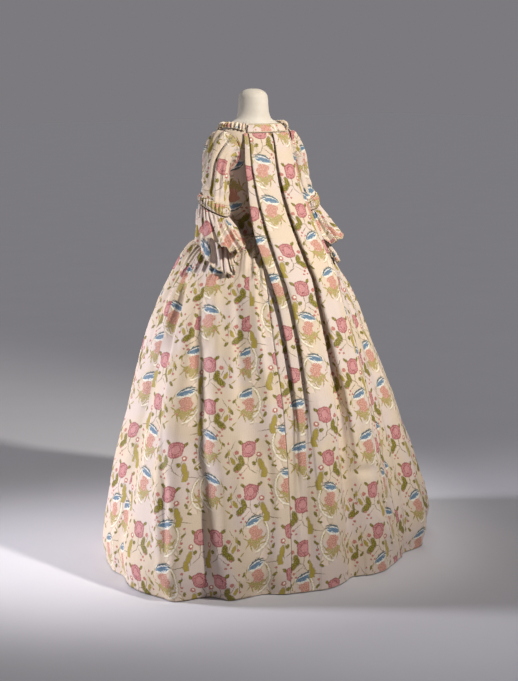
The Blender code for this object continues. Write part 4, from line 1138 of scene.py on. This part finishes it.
def brocade(name, cloth="skirt"):
    """Ivory silk with a fine rib, brocaded with shells, ruffles, roses and leaves."""
    g = Graph(name)
    uv = g.new("UVMap", uv_map="cloth")
    mm = g.new("VectorMath", operation="SCALE")
    g.put(mm.inputs[0], uv.outputs[0])
    mm.inputs[3].default_value = 1000.0
    flat = mm.outputs[0]

    # hand-woven edges: each place is looked up a little off its own
    _, shift = g.noise(flat, 0.16, 2.0, 0.6)
    warp = g.new("VectorMath", operation="MULTIPLY_ADD")
    g.put(warp.inputs[0], shift)
    warp.inputs[1].default_value = (7.0, 5.5, 0.0)
    g.put(warp.inputs[2], flat)
    split = g.new("SeparateXYZ")
    g.put(split.inputs[0], warp.outputs[0])
    x, y = split.outputs[0], split.outputs[1]

    def cell(rise):
        """Place in the row's own frame, the columns swapped every second row."""
        yy = g.m("ADD", y, rise)
        pair = g.m("FLOORED_MODULO", g.m("MULTIPLY", yy, 1 / (2 * ROW_H)), 2.0)
        swap = g.m("GREATER_THAN", pair, 1.0)
        sign = g.m("MULTIPLY_ADD", swap, -2.0, 1.0)
        xx = g.m("MULTIPLY_ADD", x, sign, g.m("MULTIPLY", swap, REPEAT_W / 2))
        xx = g.m("FLOORED_MODULO", g.m("ADD", xx, REPEAT_W / 4), REPEAT_W)
        return g.vec(g.m("SUBTRACT", xx, REPEAT_W / 4), g.m("FLOORED_MODULO", yy, ROW_H), 1.0)

    p, q = cell(0.0), cell(ROSE_RISE)
    mottle, _ = g.noise(flat, 0.33, 1.0, 0.6)
    fine, _ = g.noise(warp.outputs[0], 0.85, 1.0, 0.6)
    stroke = g.new("TexWave", wave_type="BANDS", bands_direction="DIAGONAL")
    g.put(stroke.inputs["Vector"], warp.outputs[0])
    stroke.inputs["Scale"].default_value = 0.075
    stroke.inputs["Distortion"].default_value = 3.0
    stroke.inputs["Detail"].default_value = 1.0
    stroke.inputs["Detail Scale"].default_value = 0.4
    streak = stroke.outputs["Fac"]

    # ground: broad cool and warm areas, and a fine self stripe
    broad, _ = g.noise(flat, 0.006, 1.0, 0.5)
    colour = g.mix(g.band(broad, 0.40, 0.62), GROUND, GROUND_COOL)
    stripe = g.m("SINE", g.m("MULTIPLY", x, 2 * math.pi / 5.6))
    colour = g.mix(g.m("MULTIPLY_ADD", stripe, 0.10, 0.10), colour, (0.52, 0.42, 0.33))
    figure = g.band(g.m("ABSOLUTE", g.m("SUBTRACT", mottle, 0.5)), 0.05, 0.012)
    colour = g.mix(g.m("MULTIPLY", figure, 0.22), colour, (0.56, 0.45, 0.33))

    def lay(base, mask, light, dark, factor=None):
        paint = g.mix(factor, light, dark) if factor is not None else light
        return g.mix(mask, base, paint)

    rough = g.band(mottle, 0.42, 0.60)
    grain = g.band(fine, 0.40, 0.60)

    # a pale ribbon that winds up each column of shells, with speckled edges
    bend = g.m("SINE", g.m("MULTIPLY_ADD", y, 2 * math.pi / ROW_H, 0.9))
    off = g.m("ABSOLUTE", g.m("SUBTRACT", g.new_x(p), g.m("MULTIPLY_ADD", bend, 17.0, 21.0)))
    ribbon = g.m("MULTIPLY", off, 1 / 13.0)
    colour = g.mix(g.m("MULTIPLY", g.fill(ribbon, 0.3, 1.18), g.m("MULTIPLY_ADD", grain, 0.60, 0.25)), colour, TAN)
    colour = g.mix(g.m("MULTIPLY", g.fill(ribbon, 0.2, 0.88), 0.85), colour, RIBBON)
    colour = g.mix(g.m("MULTIPLY", g.fill(ribbon, 0.4, 0.62), g.m("MULTIPLY", grain, 0.60)), colour, CORAL_PALE)

    # lace that winds past the shells, scalloped along its edge
    ring = g.near(p, 1, 66, 48, 56)
    side = g.m("GREATER_THAN", g.new_x(p), 4.0)
    scallop = g.m("MULTIPLY", g.m("ABSOLUTE", g.m("SINE", g.m("MULTIPLY", y, math.pi / 8.5))), 0.030)
    edge = g.m("ABSOLUTE", g.m("SUBTRACT", g.m("ADD", ring, scallop), 1.0))
    lace = g.m("MULTIPLY", g.share(g.m("MULTIPLY_ADD", edge, -24.0, 1.7)), side)
    rim = g.m("MULTIPLY", g.share(g.m("MULTIPLY_ADD", edge, -14.0, 2.1)), side)
    colour = g.mix(g.m("MULTIPLY", rim, g.m("MULTIPLY_ADD", grain, 0.70, 0.22)), colour, TAN)
    colour = g.mix(g.m("MULTIPLY", lace, 0.95), colour, CREAM)

    sprigs = g.fill(g.nearest(p, SPRIGS), 0.5)
    colour = lay(colour, sprigs, MOSS, MUSTARD, rough)
    stems = g.fill(g.nearest(q, STEMS), 0.7)
    colour = g.mix(g.m("MULTIPLY", stems, 0.85), colour, STEM)

    # shell: pale body, bold blue strokes, dark lashes along its top
    shell = g.nearest(p, SHELL)
    colour = g.mix(g.m("MULTIPLY", g.fill(shell, 0.25, 1.10), 0.55), colour, TAN)
    colour = g.mix(g.fill(shell, 0.22, 0.98), colour, CREAM)
    colour = g.mix(g.m("MULTIPLY", g.fill(shell, 0.5, 0.80), g.band(streak, 0.30, 0.55)), colour, BLUE_PALE)
    colour = lay(colour, g.fill(g.nearest(p, STROKES), 0.35), BLUE_MID, BLUE, g.band(fine, 0.42, 0.60))
    colour = g.mix(g.m("MULTIPLY", g.fill(g.nearest(p, LASHES), 0.45), 0.92), colour, TEAL)

    # ruffle under the shell, and the mossy base with berries
    ruffle = g.nearest(p, RUFFLE)
    colour = lay(colour, g.fill(ruffle, 0.20), CORAL_PALE, CORAL, g.band(mottle, 0.38, 0.56))
    colour = g.mix(g.m("MULTIPLY", g.fill(ruffle, 0.2, 0.96), g.band(fine, 0.56, 0.66)), colour, RUST)
    base = g.fill(g.nearest(p, BASE), 0.30)
    colour = lay(colour, g.m("MULTIPLY", base, g.band(fine, 0.34, 0.44)), MUSTARD, MOSS, rough)
    colour = g.mix(g.fill(g.nearest(p, BERRIES), 0.3), colour, CORAL)

    # leaves: an olive pair, a mustard pair
    leaves = g.nearest(q, LEAVES + GREENS)
    colour = g.mix(g.m("MULTIPLY", g.fill(leaves, 0.2, 1.22), 0.75), colour, STEM)
    colour = lay(colour, g.fill(leaves, 0.16), OLIVE, MUSTARD, g.band(mottle, 0.50, 0.66))
    yellow = g.nearest(q, YELLOW)
    colour = g.mix(g.m("MULTIPLY", g.fill(yellow, 0.2, 1.16), 0.6), colour, STEM)
    colour = lay(colour, g.fill(yellow, 0.14), MUSTARD, MOSS, g.band(mottle, 0.52, 0.64))

    # rose: wine edge, petals in turned rings, pale heart; buds
    bloom = g.nearest(q, BLOOM)
    colour = lay(colour, g.fill(bloom, 0.10, 1.06), ROSE, WINE, g.band(fine, 0.46, 0.62))
    colour = lay(colour, g.fill(bloom, 0.16, 0.90), ROSE, ROSE_PALE, g.band(mottle, 0.44, 0.60))
    heart = g.fill(g.nearest(q, HEART), 0.22)
    colour = lay(colour, heart, ROSE_PALE, ROSE, g.band(fine, 0.50, 0.66))
    ring2 = g.m("ABSOLUTE", g.m("SUBTRACT", g.nearest(q, FOLDED), 1.0))
    colour = g.mix(g.m("MULTIPLY", g.fill(ring2, 0.08, 0.07), g.band(mottle, 0.36, 0.55)), colour, WINE)
    small = g.nearest(q, BUD + DROPS)
    colour = lay(colour, g.fill(small, 0.20), CORAL, ROSE, rough)
    colour = g.mix(g.fill(g.nearest(q, [(93, 71, 3.6, 3.4, 0)]), 0.3), colour, CREAM)

    # threads: darker flecks all over, as in a brocade with floating wefts
    colour = g.mix(g.m("MULTIPLY", g.band(fine, 0.50, 0.68), 0.20), colour, (0.30, 0.22, 0.14))
    return g, colour, flat, x, y


def finish_silk(g, colour, flat, x, y, roughness=0.46, ruched=False):
    """Silk surface: weft ribs, slubs, and a soft lustre."""
    shader = g.shader
    g.put(shader.inputs["Base Color"], colour)
    shader.inputs["Specular IOR Level"].default_value = 0.14
    shader.inputs["Sheen Weight"].default_value = 0.10
    shader.inputs["Sheen Roughness"].default_value = 0.45
    shader.inputs["Sheen Tint"].default_value = (1.0, 0.95, 0.90, 1.0)
    split = g.new("SeparateXYZ")
    g.put(split.inputs[0], flat)
    rib = g.m("SINE", g.m("MULTIPLY", split.outputs[1], 2 * math.pi / 1.15))
    slub, _ = g.noise(flat, 0.45, 2.0, 0.65)
    height = g.m("MULTIPLY_ADD", slub, 1.4, g.m("MULTIPLY", rib, 0.16))
    bump = g.new("Bump")
    bump.inputs["Strength"].default_value = 0.55
    bump.inputs["Distance"].default_value = 0.00045
    g.put(bump.inputs["Height"], height)
    g.put(shader.inputs["Normal"], bump.outputs[0])
    g.put(shader.inputs["Roughness"], g.m("MULTIPLY_ADD", slub, 0.22, roughness - 0.11))
    return g.material


def edge_silk():
    """Oversewn raw edges: dark green and rust thread over the ivory."""
    g = Graph("silk_edge")
    uv = g.new("UVMap", uv_map="cloth")
    mm = g.new("VectorMath", operation="SCALE")
    g.put(mm.inputs[0], uv.outputs[0])
    mm.inputs[3].default_value = 1000.0
    a, _ = g.noise(mm.outputs[0], 0.16, 2.0, 0.6)
    b, _ = g.noise(mm.outputs[0], 0.9, 1.0, 0.5)
    colour = g.mix(g.band(a, 0.40, 0.55), (0.36, 0.21, 0.12), (0.20, 0.20, 0.12))
    colour = g.mix(g.band(b, 0.42, 0.54), colour, (0.64, 0.53, 0.38))
    g.put(g.shader.inputs["Base Color"], colour)
    g.shader.inputs["Roughness"].default_value = 0.6
    bump = g.new("Bump")
    bump.inputs["Strength"].default_value = 0.6
    bump.inputs["Distance"].default_value = 0.0005
    g.put(bump.inputs["Height"], b)
    g.put(g.shader.inputs["Normal"], bump.outputs[0])
    return g.material


def object_space(g):
    return g.new("TexCoord").outputs["Object"]


def linen():
    """Smooth off-white cover: a fine plain weave, faintly uneven in tone."""
    g = Graph("form_cover")
    at = object_space(g)
    split = g.new("SeparateXYZ")
    g.put(split.inputs[0], at)
    xx = g.m("SINE", g.m("MULTIPLY", g.m("ADD", split.outputs[0], split.outputs[1]), 2 * math.pi / 0.0011))
    zz = g.m("SINE", g.m("MULTIPLY", split.outputs[2], 2 * math.pi / 0.0011))
    a, _ = g.noise(at, 9.0, 3.0, 0.6, "3D")
    b, _ = g.noise(at, 260.0, 2.0, 0.6, "3D")
    colour = g.mix(g.band(a, 0.35, 0.65), (0.70, 0.655, 0.585), (0.62, 0.56, 0.48))
    colour = g.mix(g.m("MULTIPLY", g.band(b, 0.55, 0.75), 0.25), colour, (0.60, 0.53, 0.45))
    g.put(g.shader.inputs["Base Color"], colour)
    g.put(g.shader.inputs["Roughness"], g.m("MULTIPLY_ADD", b, 0.2, 0.62))
    g.shader.inputs["Sheen Weight"].default_value = 0.15
    bump = g.new("Bump")
    bump.inputs["Strength"].default_value = 0.35
    bump.inputs["Distance"].default_value = 0.0003
    g.put(bump.inputs["Height"], g.m("MULTIPLY_ADD", g.m("MULTIPLY", xx, zz), 0.5, b))
    g.put(g.shader.inputs["Normal"], bump.outputs[0])
    return g.material


def steel():
    """Satin steel tube: fine lengthwise drawing lines, a few dull patches."""
    g = Graph("pole_metal")
    at = object_space(g)
    stretch = g.new("Mapping")
    stretch.inputs["Scale"].default_value = (900.0, 900.0, 6.0)
    g.put(stretch.inputs["Vector"], at)
    a, _ = g.noise(stretch.outputs[0], 1.0, 2.0, 0.6, "3D")
    b, _ = g.noise(at, 14.0, 3.0, 0.6, "3D")
    colour = g.mix(g.band(b, 0.35, 0.7), (0.56, 0.56, 0.57), (0.42, 0.42, 0.43))
    g.put(g.shader.inputs["Base Color"], colour)
    g.shader.inputs["Metallic"].default_value = 0.9
    g.put(g.shader.inputs["Roughness"], g.m("MULTIPLY_ADD", a, 0.25, 0.26))
    bump = g.new("Bump")
    bump.inputs["Strength"].default_value = 0.15
    bump.inputs["Distance"].default_value = 0.0002
    g.put(bump.inputs["Height"], a)
    g.put(g.shader.inputs["Normal"], bump.outputs[0])
    return g.material


def paint():
    """Matt off-white paint with a fine orange-peel and small scuffs."""
    g = Graph("base_paint")
    at = object_space(g)
    a, _ = g.noise(at, 420.0, 2.0, 0.5, "3D")
    b, _ = g.noise(at, 22.0, 4.0, 0.7, "3D")
    colour = g.mix(g.band(b, 0.58, 0.75), (0.76, 0.75, 0.72), (0.60, 0.58, 0.54))
    g.put(g.shader.inputs["Base Color"], colour)
    g.put(g.shader.inputs["Roughness"], g.m("MULTIPLY_ADD", b, 0.3, 0.40))
    bump = g.new("Bump")
    bump.inputs["Strength"].default_value = 0.2
    bump.inputs["Distance"].default_value = 0.0003
    g.put(bump.inputs["Height"], a)
    g.put(g.shader.inputs["Normal"], bump.outputs[0])
    return g.material


def set_material(obj, material):
    obj.data.materials.clear()
    obj.data.materials.append(material)


# ---------------------------------------------------------------- the robe
CLAY = False
silk = finish_silk(*brocade("brocade_silk"))
trim_silk = silk
selvedge = edge_silk()

skirt_left = skirt_piece("skirt_cloth_left", "skirt_left", 1, FOLDS_LEFT, CREASES_LEFT, JOINS_LEFT, silk, selvedge, (0.0, 0.0))
skirt_right = skirt_piece("skirt_cloth_right", "skirt_right", -1, FOLDS_RIGHT, CREASES_RIGHT, JOINS_RIGHT, silk, selvedge, (0.04, 0.05))
sack_cloth = sack_piece(silk, selvedge)
petticoat = petticoat_piece(silk)
bodice = bodice_pieces(silk)
band = neckband_piece(trim_silk, selvedge)
cover = form_piece(linen())
sleeves, ruches, flounces, robings = [], [], [], []
for side, word in ((1, "left"), (-1, "right")):
    sleeves.append(sleeve_piece(side, word, silk))
    ruches.append(band_piece(side, word, trim_silk, selvedge))
    robings.append(robing_piece(side, word, trim_silk, selvedge))
    for row in FLOUNCES:
        flounces.append(flounce_piece(side, word, row, trim_silk, selvedge))
set_material(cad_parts["stand_pole"], steel())
set_material(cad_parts["stand_base"], paint())

# ---------------------------------------------------------------- cloth facts
# Record for the cut of what shows of each piece, metres; shaped: the cut isn't a rectangle,
# so its own area is given too. Only the record is defined; no piece's cut is listed.
Cut = namedtuple("Cut", "piece width length held shaped rests_on")

# ---------------------------------------------------------------- camera, floor, light
AROUND, DISTANCE, EYE = math.radians(39.0), 5.0, 1.6
BACKDROP = (0.2016, 0.1946, 0.2086)
PITCH, YAW = math.radians(10.3495), math.radians(0.2208)
camera_data = bpy.data.cameras.new("camera")
camera_data.sensor_fit = "AUTO"
camera_data.sensor_width = 36.0
camera_data.lens = 1540.0 * 36.0 / 681.0
camera = bpy.data.objects.new("camera", camera_data)
bpy.context.scene.collection.objects.link(camera)
camera.location = (DISTANCE * math.sin(AROUND), DISTANCE * math.cos(AROUND), EYE)
level = Vector((-math.sin(AROUND), -math.cos(AROUND), 0.0))
right = level.cross(Vector((0, 0, 1)))
level = level * math.cos(YAW) + right * math.sin(YAW)
look = level * math.cos(PITCH) - Vector((0, 0, 1)) * math.sin(PITCH)
camera.rotation_mode = "QUATERNION"
camera.rotation_quaternion = look.to_track_quat("-Z", "Y")
bpy.context.scene.camera = camera


def floor():
    mesh = bpy.data.meshes.new("studio_floor")
    bm = bmesh.new()
    bmesh.ops.create_grid(bm, x_segments=2, y_segments=2, size=30.0)
    bm.to_mesh(mesh)
    bm.free()
    obj = bpy.data.objects.new("studio_floor", mesh)
    bpy.context.scene.collection.objects.link(obj)
    g = Graph("studio_floor")
    at = object_space(g)
    a, _ = g.noise(at, 3.0, 3.0, 0.6, "3D")
    g.put(g.shader.inputs["Base Color"], g.mix(a, (0.70, 0.70, 0.77), (0.75, 0.75, 0.81)))
    g.shader.inputs["Roughness"].default_value = 0.85
    mesh.materials.append(g.material)


def area_light(name, at, aim, size, power, colour):
    data = bpy.data.lights.new(name, "AREA")
    data.shape = "DISK"
    data.size = size
    data.energy = power
    data.color = colour
    obj = bpy.data.objects.new(name, data)
    bpy.context.scene.collection.objects.link(obj)
    obj.location = at
    obj.rotation_mode = "QUATERNION"
    obj.rotation_quaternion = (Vector(aim) - Vector(at)).to_track_quat("-Z", "Y")


def spot_light(name, at, aim, radius, power, colour, cone):
    data = bpy.data.lights.new(name, "SPOT")
    data.shadow_soft_size = radius
    data.energy = power
    data.color = colour
    data.spot_size = math.radians(cone)
    data.spot_blend = 0.9
    obj = bpy.data.objects.new(name, data)
    bpy.context.scene.collection.objects.link(obj)
    obj.location = at
    obj.rotation_mode = "QUATERNION"
    obj.rotation_quaternion = (Vector(aim) - Vector(at)).to_track_quat("-Z", "Y")


floor()
toward = Vector((math.sin(AROUND), math.cos(AROUND), 0))
leftward = Vector((math.cos(AROUND), -math.sin(AROUND), 0))
aim = (0.0, 0.1, 0.75)
spot_light("key_left", leftward * 3.6 + toward * 0.05 + Vector((0, 0, 1.25)), (0.12, 0.12, 0.36), 0.30, 640.0, (0.97, 0.95, 1.0), 38.0)
spot_light("top_right", leftward * -2.3 + toward * 1.9 + Vector((0, 0, 2.9)), (0.0, 0.14, 1.05), 0.12, 560.0, (1.0, 0.95, 0.87), 42.0)
area_light("fill_front", leftward * 0.3 + toward * 4.5 + Vector((0, 0, 1.6)), aim, 2.5, 2.0, (1.0, 0.90, 0.78))
back = bpy.data.lights.new("back_floor", "SUN")
back.energy, back.angle, back.color = 0.42, math.radians(35), (1.0, 0.98, 0.97)
lamp = bpy.data.objects.new("back_floor", back)
bpy.context.scene.collection.objects.link(lamp)
lamp.rotation_mode = "QUATERNION"
lamp.rotation_quaternion = (toward * 0.62 - Vector((0, 0, 1.0))).to_track_quat("-Z", "Y")
world = bpy.data.worlds.new("studio")
world.use_nodes = True
world.node_tree.nodes["Background"].inputs[0].default_value = (0.62, 0.60, 0.60, 1.0)
world.node_tree.nodes["Background"].inputs[1].default_value = 0.25
# the camera alone sees a paler backdrop, of the far floor's tone, so that no horizon shows
nodes, links = world.node_tree.nodes, world.node_tree.links
wall = nodes.new("ShaderNodeBackground")
wall.inputs[0].default_value = (*BACKDROP, 1.0)
ray, both = nodes.new("ShaderNodeLightPath"), nodes.new("ShaderNodeMixShader")
links.new(ray.outputs["Is Camera Ray"], both.inputs[0])
links.new(nodes["Background"].outputs[0], both.inputs[1])
links.new(wall.outputs[0], both.inputs[2])
links.new(both.outputs[0], nodes["World Output"].inputs[0])
bpy.context.scene.world = world
bpy.context.scene.view_settings.view_transform = "Standard"
